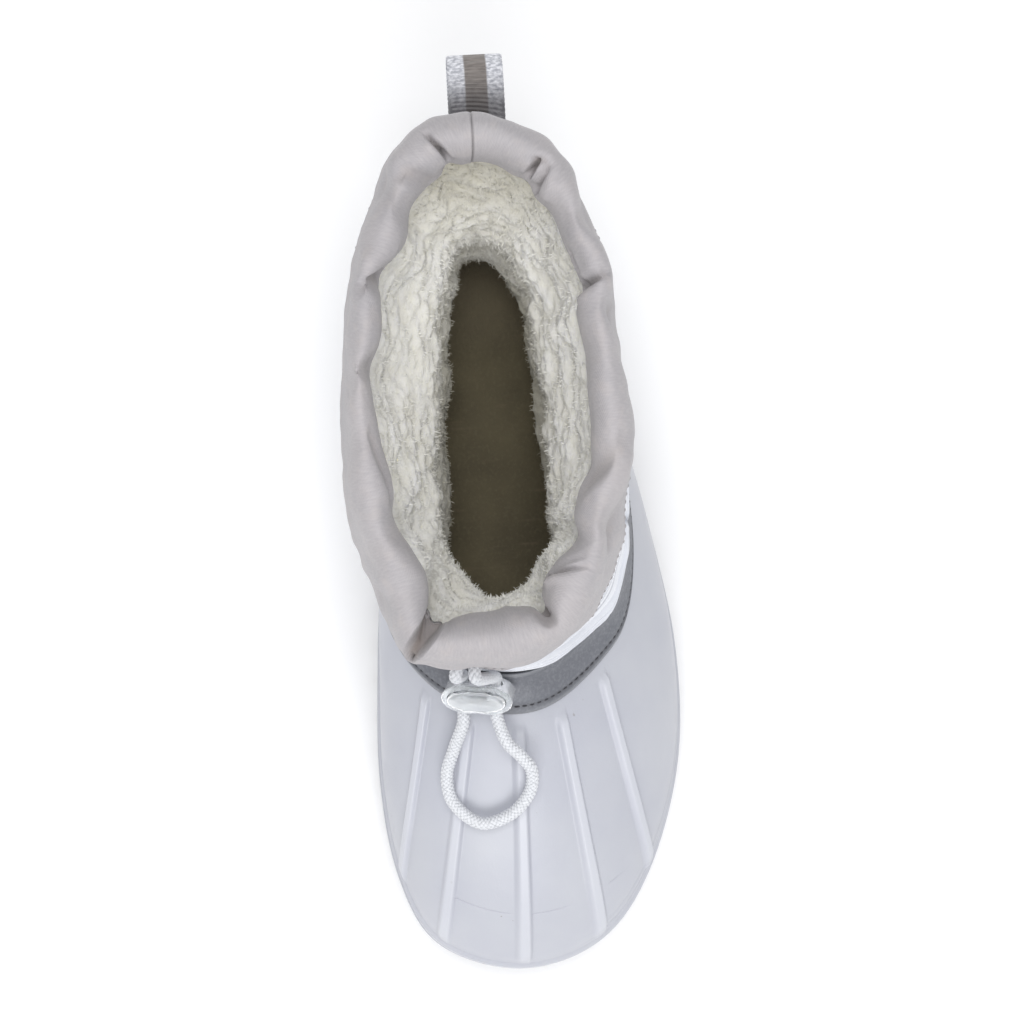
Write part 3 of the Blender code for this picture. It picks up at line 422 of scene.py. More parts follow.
def lumps(points, size, seed=0):
    """Distance to the nearest of the scattered lump middles, in sizes: 0 on a lump's top."""
    places = points / size
    cell = np.floor(places)
    nearest = np.full(points.shape[:-1], 9.0)
    for step in np.ndindex(3, 3, 3):
        near = cell + step - 1
        middle = near + np.stack([lattice(near, seed + k) for k in (1, 2, 3)], axis=-1)
        nearest = np.minimum(nearest, np.linalg.norm(places - middle, axis=-1))
    return nearest


# Meshes
def add_mesh(name, points, faces, uvs=None, values=None, smooth=True):
    """An object from points and faces, with cloth coordinates in metres and named values for its material."""
    mesh = bpy.data.meshes.new(name)
    mesh.from_pydata(np.reshape(points, (-1, 3)).tolist(), [], np.asarray(faces).tolist())
    if uvs is not None:
        uv_layer = mesh.uv_layers.new(name="cloth")
        uv_layer.data.foreach_set("uv", np.asarray(uvs, np.float32).ravel())
    for key, value in (values or {}).items():
        attribute = mesh.attributes.new(key, "FLOAT", "POINT")
        attribute.data.foreach_set("value", np.asarray(value, np.float32).ravel())
    mesh.polygons.foreach_set("use_smooth", np.full(len(mesh.polygons), smooth))
    mesh.update()
    made = bpy.data.objects.new(name, mesh)
    bpy.context.scene.collection.objects.link(made)
    return made


def reshape(thing, change):
    """Runs a change on a piece's mesh."""
    shape = bmesh.new()
    shape.from_mesh(thing.data)
    change(shape)
    shape.to_mesh(thing.data)
    shape.free()
    return thing


def face_out(thing):
    return reshape(thing, lambda shape: bmesh.ops.recalc_face_normals(shape, faces=shape.faces))


def fill_holes(shape):
    bmesh.ops.holes_fill(shape, edges=[edge for edge in shape.edges if edge.is_boundary])


def add_solid(name, points, faces):
    """An object from points and faces, flat shaded, its faces pointing out."""
    mesh = bpy.data.meshes.new(name)
    mesh.from_pydata(points, [], faces)
    made = bpy.data.objects.new(name, mesh)
    bpy.context.scene.collection.objects.link(made)
    return face_out(made)


def soften(thing, angle=32):
    """Shades a piece smoothly but for the edges that turn by more than an angle in degrees."""
    thing.data.polygons.foreach_set("use_smooth", np.ones(len(thing.data.polygons), bool))
    thing.data.set_sharp_from_angle(angle=math.radians(angle))


def grid_faces(rows, columns, close_rows=False):
    """Corner numbers of a grid's faces, joined round its columns and, if asked, from last row to first."""
    row_count = rows if close_rows else rows - 1
    r, c = np.meshgrid(np.arange(row_count), np.arange(columns), indexing="ij")
    n, d = (r + 1) % rows, (c + 1) % columns
    corners = np.stack([r * columns + c, r * columns + d, n * columns + d, n * columns + c], axis=-1)
    return corners.reshape(-1, 4), r.ravel(), c.ravel()


def add_grid(name, points, close_rows=False, values=None):
    """A sheet or sleeve from a grid of points, its cloth coordinates measured along rows and columns."""
    rows, columns = points.shape[:2]
    faces, r, c = grid_faces(rows, columns, close_rows)
    around_step = np.linalg.norm(np.roll(points, -1, axis=1) - points, axis=-1).mean(axis=0)
    upward_step = np.linalg.norm(np.roll(points, -1, axis=0) - points, axis=-1).mean(axis=1)
    across = np.concatenate([[0], np.cumsum(around_step)])
    along = np.concatenate([[0], np.cumsum(upward_step)])
    left, right, low, high = across[c], across[c + 1], along[r], along[r + 1]
    corners = [(left, low), (right, low), (right, high), (left, high)]
    uvs = np.stack([np.stack(pair, axis=-1) for pair in corners], axis=1)
    return add_mesh(name, points, faces, uvs, values)


def smooth_rows(keys, steps):
    """Rows on smooth curves through key rows, with a number of steps between each two."""
    ends = np.concatenate([2 * keys[:1] - keys[1:2], keys, 2 * keys[-1:] - keys[-2:-1]])
    rows = []
    for k in range(len(keys) - 1):
        a, b, c, d = ends[k : k + 4]
        rows += [through(a, b, c, d, f) for f in np.arange(steps) / steps]
    return np.array([*rows, keys[-1]])


def grid_normals(points):
    """Normals of a grid that is closed round its columns, out of the boot where its rows climb."""
    across = np.roll(points, -1, axis=1) - np.roll(points, 1, axis=1)
    return unit(np.cross(np.gradient(points, axis=0), across))


def tube(name, route, radius, sides):
    """A round tube along a route, with its ends filled. radius: a number, or one for each ring and side."""
    route = np.asarray(route, float)
    run = unit(np.gradient(route, axis=0))
    side = np.cross(run[0], [0.0, 0.0, 1.0])
    if np.linalg.norm(side) < 0.1:
        side = np.cross(run[0], [1.0, 0.0, 0.0])
    side = unit(side)
    sides_of = []
    for direction in run:
        side = unit(side - direction * (side @ direction))
        sides_of.append(side)
    first = np.array(sides_of)
    second = np.cross(run, first)
    angle = np.arange(sides) / sides * 2 * math.pi
    ring = np.cos(angle)[None, :, None] * first[:, None] + np.sin(angle)[None, :, None] * second[:, None]
    points = route[:, None] + ring * np.broadcast_to(radius, (len(route), sides))[..., None]
    made = add_grid(name, points)
    return face_out(reshape(made, fill_holes))


def smooth_route(points, spacing):
    """Points on a smooth curve through the given points, about a spacing apart."""
    points = np.array(points, float)
    ends = np.vstack([2 * points[0] - points[1], points, 2 * points[-1] - points[-2]])
    route = []
    for k in range(len(points) - 1):
        a, b, c, d = ends[k : k + 4]
        steps = max(1, round(np.linalg.norm(c - b) / spacing))
        route += [through(a, b, c, d, f) for f in np.arange(steps) / steps]
    return np.array([*route, points[-1]])


def finish_piece(piece, material, node, body="boot"):
    """Gives a piece its material, hides the CAD node that it stands for and hangs it on the body that it rides
    on.
    """
    piece.data.materials.clear()
    piece.data.materials.append(material)
    if node:
        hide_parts(node)
    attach(piece, body)
    return piece


# Materials
class Nodes:
    """A short way to write a material's nodes."""

    def __init__(self, name):
        self.material = bpy.data.materials.new(name)
        self.material.use_nodes = True
        self.tree = self.material.node_tree
        self.shader = self.tree.nodes["Principled BSDF"]

    def add(self, kind, inputs=None, **settings):
        node = self.tree.nodes.new(kind)
        for key, value in settings.items():
            setattr(node, key, value)
        for key, value in (inputs or {}).items():
            self.link(value, node.inputs[key])
        return node

    def link(self, value, socket):
        if isinstance(value, bpy.types.NodeSocket):
            self.tree.links.new(value, socket)
        else:
            socket.default_value = value

    def math(self, operation, a, b=0.0, c=0.0):
        return self.add("ShaderNodeMath", {0: a, 1: b, 2: c}, operation=operation).outputs[0]

    def times(self, a, b):
        return self.math("MULTIPLY", a, b)

    def mix(self, share, a, b):
        node = self.add("ShaderNodeMix", data_type="RGBA")
        for index, value in ((0, share), (6, a), (7, b)):
            self.link(value, node.inputs[index])
        return node.outputs[2]

    def tint(self, name, share, base, tone):
        """The base, mixed with a tone by a named value of the mesh times a share."""
        return self.mix(self.times(self.value(name), share), base, colour(*tone))

    def blotch(self, where, size, detail, low, high, base, tone):
        """The base, going over to a tone where soft noise rises from low to high."""
        return self.mix(self.range(self.noise(where, size, detail), low, high), base, tone)

    def speckle(self, where, size, detail, low, high, share, base, tone):
        """The base, with up to a share of a tone where soft noise rises from low to high."""
        return self.mix(self.range(self.noise(where, size, detail), low, high, 0.0, share), base, colour(*tone))

    def value(self, name):
        return self.add("ShaderNodeAttribute", attribute_name=name).outputs["Fac"]

    def cloth(self, scale=(1, 1, 1), turn=0.0):
        """Cloth coordinates in metres, scaled and turned."""
        uv = self.add("ShaderNodeUVMap", uv_map="cloth").outputs[0]
        return self.add("ShaderNodeMapping", {0: uv, 2: (0, 0, turn), 3: scale}).outputs[0]

    def axes(self, where):
        return self.add("ShaderNodeSeparateXYZ", {0: where}).outputs

    def stretched(self, where, scale):
        return self.add("ShaderNodeMapping", {0: where, 3: scale}).outputs[0]

    def space(self):
        return self.add("ShaderNodeTexCoord").outputs["Object"]

    def noise(self, where, size, detail=2.0, rough=0.5):
        inputs = {"Vector": where, "Scale": 1 / size, "Detail": detail, "Roughness": rough}
        return self.add("ShaderNodeTexNoise", inputs).outputs["Fac"]

    def wave(self, where, size, direction):
        inputs = {"Vector": where, "Scale": 1 / size}
        return self.add("ShaderNodeTexWave", inputs, bands_direction=direction).outputs["Fac"]

    def range(self, value, low, high, to_low=0.0, to_high=1.0, smooth=False):
        kind = "SMOOTHSTEP" if smooth else "LINEAR"
        inputs = {0: value, 1: low, 2: high, 3: to_low, 4: to_high}
        return self.add("ShaderNodeMapRange", inputs, interpolation_type=kind).outputs[0]

    def bump(self, height, distance, strength=1.0, before=None):
        inputs = {"Height": height, "Distance": distance, "Strength": strength}
        if before is not None:
            inputs["Normal"] = before
        return self.add("ShaderNodeBump", inputs).outputs[0]

    def set(self, **inputs):
        for key, value in inputs.items():
            self.link(value, self.shader.inputs[key.replace("_", " ")])
        return self.material


def colour(red, green, blue):
    """A screen colour from 0 to 255 as light."""
    light = [(c / 255 / 12.92) if c <= 10 else ((c / 255 + 0.055) / 1.055) ** 2.4 for c in (red, green, blue)]
    return (*light, 1.0)


def shell_material():
    """Moulded foam rubber: a soft sheen over fine grain, clouds, a mould line over the toe, a few specks, a
    painted highlight on the rib crests and painted shade at the rib edges, the ledge and the rand lines.
    """
    n = Nodes("shell_white")
    where = n.space()
    clouds = n.range(n.noise(where, 0.035, 3.0), 0.35, 0.65)
    base = n.mix(clouds, colour(188, 190, 197), colour(182, 184, 193))
    specks = n.range(n.noise(where, 0.0016, 0.0), 0.16, 0.13)
    few = n.range(n.noise(where, 0.016, 1.0), 0.60, 0.66)
    base = n.mix(n.times(n.times(specks, few), 0.5), base, colour(120, 112, 100))
    scuffs = n.noise(n.stretched(where, (0.35, 1.0, 1.0)), 0.006, 4.0, 0.6)
    base = n.mix(n.range(scuffs, 0.66, 0.80, 0.0, 0.22), base, colour(190, 190, 200))
    # Painted shade: darker at the rib edges, along the rand lines and at the ledge line.
    base = n.tint("hollow", 0.42, base, (150, 151, 168))
    axes = n.axes(where)
    aside = n.math("SUBTRACT", axes[1], 0.0073)
    arc = n.math("ADD", axes[0], n.times(n.times(aside, aside), 10.7))
    line = n.range(n.math("ABSOLUTE", n.math("SUBTRACT", arc, 0.2163)), 0.00045, 0.0001, smooth=True)
    line = n.times(line, n.range(n.math("ABSOLUTE", aside), 0.036, 0.030))
    line = n.times(line, n.math("SUBTRACT", 1.0, n.value("rib")))
    line = n.times(line, n.range(n.noise(where, 0.009, 1.0), 0.40, 0.55))
    base = n.mix(n.times(line, 0.30), base, colour(160, 160, 174))
    # Painted highlight: the rib crests are made lighter.
    base = n.tint("rib", 0.45, base, (212, 214, 221))
    grain = n.bump(n.noise(where, 0.0007, 3.0), 0.00006, 0.7)
    grain = n.bump(n.noise(where, 0.012, 2.0), 0.0004, 0.5, grain)
    grain = n.bump(n.math("SUBTRACT", 1.0, line), 0.0002, 0.6, grain)
    rough = n.range(n.noise(where, 0.015, 3.0), 0.3, 0.7, 0.32, 0.42)
    n.set(Base_Color=base, Roughness=rough, Normal=grain, Specular_IOR_Level=0.45)
    return n.set(Subsurface_Weight=0.08, Subsurface_Radius=(0.004, 0.004, 0.0045), Subsurface_Scale=0.4)


def sole_material():
    """Moulded rubber foam, a little duller than the shell, with dust in the low places."""
    n = Nodes("sole_white")
    where = n.space()
    base = n.blotch(where, 0.020, 4.0, 0.35, 0.70, colour(190, 192, 199), colour(181, 183, 191))
    height = n.axes(where)[2]
    dust = n.times(n.range(height, 0.010, 0.0), n.range(n.noise(where, 0.010, 4.0), 0.35, 0.65))
    base = n.mix(n.times(dust, 0.5), base, colour(172, 168, 160))
    grain = n.bump(n.noise(where, 0.0009, 3.0), 0.0001, 0.8)
    return n.set(Base_Color=base, Roughness=0.52, Normal=grain, Specular_IOR_Level=0.4)


def band_material():
    """Grey coated cloth with a pebbled grain and a dull shine, paler where its edge is rubbed, and painted
    shade in its sunk stitch line.
    """
    n = Nodes("band_grey")
    where = n.space()
    base = n.blotch(where, 0.012, 4.0, 0.3, 0.7, colour(112, 114, 121), colour(104, 107, 114))
    base = n.speckle(where, 0.0011, 2.0, 0.45, 0.72, 0.35, base, (146, 148, 152))
    base = n.tint("rim", 0.45, base, (176, 177, 180))
    # Painted shade in the sunk stitch line.
    base = n.tint("hollow", 0.65, base, (82, 83, 88))
    inputs = {"Vector": where, "Scale": 1 / 0.0009}
    cells = n.add("ShaderNodeTexVoronoi", inputs, feature="F1").outputs["Distance"]
    grain = n.bump(cells, 0.00010, 0.8)
    grain = n.bump(n.noise(where, 0.006, 3.0), 0.0004, 0.6, grain)
    return n.set(Base_Color=base, Roughness=0.46, Normal=grain, Specular_IOR_Level=0.55, Metallic=0.10)


def shaft_material():
    """White coated cloth: glossy, with a fine weave under the coat and soft crinkles, and painted shade along
    its seams, at the trim and in lines between and above the glossy folds.
    """
    n = Nodes("shaft_white")
    where = n.space()
    base = n.blotch(where, 0.020, 3.0, 0.35, 0.65, colour(232, 234, 240), colour(226, 229, 236))
    # Painted shade along the seams, at the trim and between and above the glossy folds.
    base = n.tint("hollow", 0.80, base, (146, 150, 162))
    weave = n.wave(n.cloth(), 0.0042, "X")
    cross = n.wave(n.cloth(), 0.0042, "Y")
    grain = n.bump(n.times(weave, cross), 0.00005, 0.6)
    grain = n.bump(n.noise(where, 0.009, 4.0, 0.6), 0.0011, 0.75, grain)
    n.set(Base_Color=base, Roughness=0.26, Normal=grain, Specular_IOR_Level=0.6)
    return n.set(Coat_Weight=0.5, Coat_Roughness=0.12)


def twill_material():
    """Soft grey twill: slanting threads, a brushed nap, slubs, painted shade in its creases and in the deep
    front fold, and darker along the seam.
    """
    n = Nodes("cuff_twill")
    where = n.space()
    base = n.blotch(where, 0.020, 3.0, 0.35, 0.65, colour(172, 168, 170), colour(165, 162, 165))
    slant = n.add("ShaderNodeTexWave", {"Vector": n.cloth((1, 1, 1), math.radians(52)), "Scale": 1 / 0.0023,
                                        "Distortion": 1.0, "Detail": 2.0, "Detail Scale": 3.0}).outputs["Fac"]
    threads = n.noise(n.cloth((1, 0.22, 1), math.radians(52)), 0.0006, 2.0)
    base = n.mix(n.range(slant, 0.2, 0.9, 0.11, 0.0), base, colour(160, 156, 158))
    base = n.mix(n.range(threads, 0.35, 0.75, 0.0, 0.17), base, colour(218, 214, 213))
    base = n.speckle(where, 0.0060, 4.0, 0.52, 0.75, 0.25, base, (196, 187, 182))
    # Painted shade in the creases and the deep front fold.
    base = n.tint("hollow", 0.42, base, (126, 116, 110))
    base = n.tint("seam", 0.65, base, (84, 80, 82))
    grain = n.bump(slant, 0.00010, 0.5)
    grain = n.bump(threads, 0.00010, 0.6, grain)
    grain = n.bump(n.noise(where, 0.0050, 3.0), 0.0006, 0.5, grain)
    n.set(Base_Color=base, Roughness=0.86, Normal=grain, Specular_IOR_Level=0.25)
    return n.set(Sheen_Weight=0.20, Sheen_Roughness=0.5)


def fleece_material(name, pale, deep, lift, glow):
    """Curly pile: creamy tips over deeper wool, with painted shade between the curls, lower down inside the
    boot and towards the heel. Its fibres stand up, so they catch the light from above.
    """
    n = Nodes(name)
    where = n.space()
    base = n.blotch(where, 0.010, 4.0, 0.35, 0.65, pale, deep)
    # Painted shade between the curls.
    base = n.tint("hollow", 0.28, base, (214, 209, 190))
    axes = n.axes(where)
    height = axes[2]
    # Painted shade: darker towards the heel, and lower down inside the boot where less light falls.
    base = n.mix(n.range(axes[0], -0.012, -0.030, 0.0, 0.55), base, colour(196, 190, 168))
    base = n.mix(n.range(height, 0.112, 0.050, 0.0, 0.95), base, colour(128, 121, 96))
    face = n.add("ShaderNodeNewGeometry").outputs["Normal"]
    lifted = n.add("ShaderNodeVectorMath", {0: face, 1: (0.0, 0.0, lift)}, operation="ADD").outputs[0]
    lifted = n.add("ShaderNodeVectorMath", {0: lifted}, operation="NORMALIZE").outputs[0]
    grain = n.bump(n.noise(where, 0.0030, 3.0, 0.6), 0.0007, 0.6, lifted)
    n.set(Base_Color=base, Roughness=0.95, Normal=grain, Specular_IOR_Level=0.10)
    n.set(Subsurface_Weight=glow, Subsurface_Radius=(0.006, 0.006, 0.005), Subsurface_Scale=1.0)
    return n.set(Sheen_Weight=0.30, Sheen_Roughness=0.6)


def insole_material():
    """Dark felted footbed, with lint, a few thin creases across it, and paler towards the heel."""
    n = Nodes("insole_felt")
    where = n.space()
    base = n.blotch(where, 0.018, 4.0, 0.3, 0.7, colour(118, 110, 88), colour(103, 96, 78))
    base = n.speckle(where, 0.0012, 3.0, 0.50, 0.75, 0.4, base, (128, 120, 98))
    along = n.axes(where)[0]
    base = n.mix(n.range(along, 0.020, -0.030, 0.0, 0.45), base, colour(186, 172, 148))
    long = n.stretched(where, (1.0, 0.12, 1.0))
    creases = n.range(n.noise(long, 0.0035, 2.0), 0.64, 0.72, 0.0, 0.45)
    base = n.mix(creases, base, colour(130, 117, 98))
    grain = n.bump(n.noise(where, 0.0010, 4.0, 0.7), 0.0004, 0.8)
    return n.set(Base_Color=base, Roughness=0.97, Normal=grain, Specular_IOR_Level=0.15)


def tape_material():
    """Grosgrain ribbon: silvery sides and a taupe stripe down its middle, with a painted shadow of the collar
    over its part near the root.
    """
    n = Nodes("tape_grosgrain")
    where = n.space()
    stripe = n.value("stripe")
    grey, silver_white = colour(168, 170, 178), colour(240, 241, 246)
    silver = n.blotch(n.cloth((0.6, 1, 1)), 0.0010, 2.0, 0.36, 0.68, grey, silver_white)
    pale, deep = colour(138, 131, 126), colour(110, 104, 100)
    taupe = n.blotch(n.cloth((0.3, 1, 1)), 0.0010, 2.0, 0.3, 0.7, pale, deep)
    base = n.mix(stripe, silver, taupe)
    # Painted shadow of the collar near the loop's root.
    base = n.tint("hollow", 0.85, base, (52, 48, 50))
    grain = n.bump(n.noise(n.cloth((1, 0.25, 1)), 0.0006, 2.0), 0.00012, 0.6)
    grain = n.bump(n.noise(where, 0.004, 2.0), 0.0003, 0.4, grain)
    n.set(Base_Color=base, Roughness=0.48, Normal=grain, Specular_IOR_Level=0.5)
    return n.set(Sheen_Weight=0.2)


def clear_material(name, tint, rough, through_share):
    """Milky clear plastic with fine flow marks."""
    n = Nodes(name)
    where = n.space()
    base = n.blotch(where, 0.003, 3.0, 0.3, 0.7, tint, colour(244, 246, 248))
    grain = n.bump(n.noise(where, 0.0016, 3.0), 0.0002, 0.5)
    n.set(Base_Color=base, Roughness=rough, Normal=grain, IOR=1.46, Specular_IOR_Level=0.5)
    return n.set(Transmission_Weight=through_share, Coat_Weight=0.35, Coat_Roughness=0.06)


def spring_material():
    n = Nodes("spring_steel")
    where = n.space()
    base = n.mix(n.noise(where, 0.002, 2.0), colour(150, 152, 156), colour(186, 188, 192))
    return n.set(Base_Color=base, Metallic=1.0, Roughness=0.32)


def cord_material():
    """Braided bright yarn: fine fibres along each strand, and painted shade between the strands."""
    n = Nodes("cord_braid")
    where = n.space()
    fibres = n.noise(n.cloth((1, 0.25, 1), math.radians(30)), 0.0004, 2.0)
    base = n.mix(n.range(fibres, 0.3, 0.7), colour(206, 208, 213), colour(230, 232, 236))
    # Painted shade between the strands.
    base = n.tint("hollow", 0.80, base, (138, 142, 148))
    base = n.speckle(where, 0.006, 2.0, 0.5, 0.8, 0.3, base, (214, 216, 218))
    grain = n.bump(fibres, 0.00008, 0.6)
    n.set(Base_Color=base, Roughness=0.52, Normal=grain, Specular_IOR_Level=0.5)
    return n.set(Sheen_Weight=0.3, Sheen_Roughness=0.4)


def thread_material(name, tone):
    n = Nodes(name)
    base = n.mix(n.noise(n.space(), 0.0008, 2.0), tone, tuple(min(1.0, c * 1.35) for c in tone[:3]) + (1.0,))
    return n.set(Base_Color=base, Roughness=0.7, Sheen_Weight=0.2)


# Pieces
def rib_profile(u, t, u_size):
    """Height of the raised ribs over the skin, 0 to 1: a rounded crest, steeper on its outer side."""
    place = u * len(LINES)
    height = np.zeros(np.broadcast(u, t).shape)
    half = RIB_WIDTH / 2 * (0.80 + 0.20 * ease((0.85 - t) / 0.6))
    for k in range(FIRST_RIB, LAST_RIB + 1):
        away = (place - k) / len(LINES) * u_size
        inner = 1 - ease((away - 0.15 * half) / (0.85 * half))
        outer = 1 - ease((-away - 0.50 * half) / (0.50 * half))
        height = np.maximum(height, np.where(away > 0, inner, outer))
    return height * ease((t - 0.11) / 0.14) * (1 - ease((t - RIB_END) / 0.030))


def shell_columns():
    """Places round the shell, close together where the ribs stand."""
    places = []
    for k in range(len(LINES)):
        if FIRST_RIB - 1 <= k <= LAST_RIB:
            shares = np.concatenate([
                np.arange(0, 0.16, 0.0125), np.arange(0.16, 0.84, 0.034), np.arange(0.84, 1, 0.0125),
            ])
        else:
            shares = np.arange(0, 1, 1 / 18)
        places.append((k + shares) / len(LINES))
    return np.concatenate(places)


def make_shell(material):
    """The moulded lower: dense outer face with ribs, ledge and rand lines, and its wall's inner face."""
    u = shell_columns()
    t = np.concatenate([
        np.linspace(0, 0.20, 26)[:-1], np.linspace(0.20, 0.93, 66)[:-1], np.linspace(0.93, 1.0, 8),
    ])
    grid_u, grid_t = np.meshgrid(u, t)
    points = skin(grid_u, grid_t)
    spacing = np.linalg.norm(skin(grid_u + 5e-4, grid_t) - skin(grid_u - 5e-4, grid_t), axis=-1) / 1e-3
    rib = rib_profile(grid_u, grid_t, spacing)
    ledge = 1 - ease((grid_t - 0.118) / 0.022)
    rand = bell(grid_t - 0.175, 0.010) + 0.7 * bell(grid_t - 0.225, 0.008)
    outer_side = ease((grid_u - 0.16) / 0.06) * (1 - ease((grid_u - 0.42) / 0.05))
    sway = soft_noise(points, 0.045, 3) * 0.0004 * ease((grid_t - 0.2) / 0.2)
    relief = RIB_HEIGHT * rib + SHELL_LEDGE * ledge - 0.0005 * rand * outer_side + sway
    relief -= 0.0008 * ease((grid_t - 0.985) / 0.015)
    foot = ease((grid_t - 0.010) / -0.010)
    relief -= 0.0006 * foot
    outer = points + outward(grid_u, grid_t) * relief[..., None]
    back_t = np.array([0.999, 0.95, 0.85, 0.70, 0.50, 0.30, 0.15])
    wall = np.broadcast_to(-shell_wall(back_t)[:, None], (len(back_t), len(u)))
    inner = layer(*np.meshgrid(u, back_t), wall)
    under = points[:1] - plan_normal(edge_ring, u)[None] * (SHELL_WALL + SHELL_LEDGE)
    rows = np.concatenate([outer, inner, under])
    hollow = np.zeros(rows.shape[:2])
    # Painted shade at the rib edges, along the rand lines on the outer side and at the ledge's top.
    blurred = np.abs(np.gradient(rib, axis=1)) * 2.0
    hollow[: len(t)] = np.clip(blurred + 0.5 * rand * outer_side + 0.5 * bell(grid_t - 0.142, 0.006), 0, 1)
    # Rib height, which also gives the rib crests their painted highlight.
    ribs = np.zeros(rows.shape[:2])
    ribs[: len(t)] = rib
    made = add_grid("boot_shell", rows, close_rows=True, values={"hollow": hollow, "rib": ribs})
    return finish_piece(face_out(made), material, "shell")


def outline(offset, x_share):
    """The sole's two sides at places along it, moved out by an offset: x, inner y and outer y."""
    u = np.arange(1440) / 1440
    ring = edge_ring(u) + plan_normal(edge_ring, u) * offset
    toe, heel = int(np.argmax(ring[:, 0])), int(np.argmin(ring[:, 0]))
    outer = np.roll(ring, -heel, axis=0)[: (toe - heel) % 1440 + 1]
    inner = np.roll(ring, -toe, axis=0)[: (heel - toe) % 1440 + 1][::-1]
    x = ring[heel, 0] + np.asarray(x_share) * (ring[toe, 0] - ring[heel, 0])
    return x, np.interp(x, inner[:, 0], inner[:, 1]), np.interp(x, outer[:, 0], outer[:, 1])


def strip_solid(name, places, levels):
    """A solid from levels of the sole's outline: each level has an offset and a function for its height."""
    count = len(places)
    points = []
    for offset, height in levels:
        x, inner, outer = outline(offset, places)
        z = height(x)
        points.append(np.concatenate([
            np.stack([x, outer, z], axis=1), np.stack([x, inner, z], axis=1)[-2:0:-1],
        ]))
    size = 2 * count - 2
    faces = grid_faces(len(levels), size)[0].tolist()
    for base in (0, (len(levels) - 1) * size):
        for c in range(count - 1):
            corners = dict.fromkeys([c, c + 1, (size - c - 1) % size, (size - c) % size])
            faces.append([base + k for k in corners])
    return add_solid(name, np.concatenate(points).tolist(), faces)


def bars(name, rows, width, depth):
    """Chevron bars under the sole, to be cut from its tread."""
    points, faces = [], []
    sides = np.linspace(-0.60, 0.72, 13)
    for middle, trail in rows:
        start = len(points)
        for side in sides:
            x = (middle - trail * abs(side - 0.03) / 0.6) * SHOE_LENGTH - HEEL_CENTRE
            floor = float(sole_under(x))
            for along, height in ((-1, -depth), (1, -depth), (0.8, depth), (-0.8, depth)):
                points.append((x + along * width / 2, side * BALL_WIDTH, floor + height))
        for base in range(start, len(points) - 4, 4):
            for c in range(4):
                d = (c + 1) % 4
                faces.append((base + c, base + d, base + 4 + d, base + 4 + c))
        faces.append([start + c for c in range(4)])
        faces.append([len(points) - 4 + c for c in range(4)])
    return add_solid(name, points, faces)


def carve(target, cutter):
    """Cuts one piece's shape out of another and removes the cutter."""
    modifier = target.modifiers.new("carve", "BOOLEAN")
    modifier.operation = "DIFFERENCE"
    modifier.solver = "EXACT"
    modifier.object = cutter
    graph = bpy.context.evaluated_depsgraph_get()
    mesh = bpy.data.meshes.new_from_object(target.evaluated_get(graph))
    target.modifiers.clear()
    target.data = mesh
    bpy.data.objects.remove(cutter)


def sole_places():
    """Places along the sole, close together where its ends turn."""
    turn = (1 - np.cos(np.linspace(0, math.pi, 181))) / 2
    return 0.5 * turn + 0.5 * np.linspace(0, 1, 181)


def make_outsole(material):
    """The sole: rounded rim and step, lugs with fine sipes, and a thin groove round its side."""
    inset = SOLE_RIM - SOLE_STEP
    middle_share = 0.62
    levels = [
        (inset - SOLE_ROUND, sole_under),
        (inset - 0.3 * SOLE_ROUND, lambda x: sole_under(x) + 0.3 * SOLE_ROUND),
        (inset, lambda x: sole_under(x) + SOLE_ROUND),
        (inset, lambda x: sole_under(x) + SOLE_STEP_HEIGHT - 0.3 * SOLE_ROUND),
        (inset + 0.3 * SOLE_STEP, lambda x: sole_under(x) + SOLE_STEP_HEIGHT),
        (SOLE_RIM - 0.3 * SOLE_ROUND, lambda x: sole_under(x) + SOLE_STEP_HEIGHT + 0.2 * SOLE_ROUND),
        (SOLE_RIM, lambda x: sole_under(x) + SOLE_STEP_HEIGHT + SOLE_ROUND),
    ]
    for shift, sink in ((-0.9, 0.0), (-0.5, 0.6), (0.0, 0.8), (0.5, 0.6), (0.9, 0.0)):
        def height(x, shift=shift):
            low = sole_under(x) + SOLE_STEP_HEIGHT + SOLE_ROUND
            return low + middle_share * (sole_top(x) - low) + shift * 0.0007
        levels.append((SOLE_RIM - sink * 0.0007, height))
    levels += [
        (SOLE_RIM, lambda x: sole_top(x) - SOLE_ROUND),
        (SOLE_RIM - 0.3 * SOLE_ROUND, lambda x: sole_top(x) - 0.3 * SOLE_ROUND),
        (SOLE_RIM - SOLE_ROUND, sole_top),
    ]
    sole = strip_solid("boot_sole", sole_places(), levels)
    carve(sole, bars("tread_bars", GROOVES, GROOVE_WIDTH, LUG_DEPTH))
    pitch = [(b - a, a, trail) for (a, trail), (b, _) in zip(GROOVES, GROOVES[1:]) if b - a < 0.08]
    sipes = [(a + gap * 0.5, trail) for gap, a, trail in pitch]
    carve(sole, bars("sipe_bars", sipes, SIPE_WIDTH, SIPE_DEPTH))
    soften(sole, 38)
    return finish_piece(sole, material, "outsole")


def make_insole(material):
    """The footbed, a little dished, with a rolled edge."""
    inset = -(SHELL_WALL + 4 * GAP)
    levels = [
        (inset, lambda x: sole_top(x) + GAP),
        (inset, lambda x: sole_top(x) + GAP + 0.7 * INSOLE_THICKNESS),
        (inset - 0.0012, lambda x: sole_top(x) + GAP + INSOLE_THICKNESS),
        (inset - 0.0040, lambda x: sole_top(x) + GAP + 0.92 * INSOLE_THICKNESS),
    ]
    insole = strip_solid("boot_insole", np.linspace(0, 1, 121), levels)
    soften(insole, 50)
    return finish_piece(insole, material, "insole")


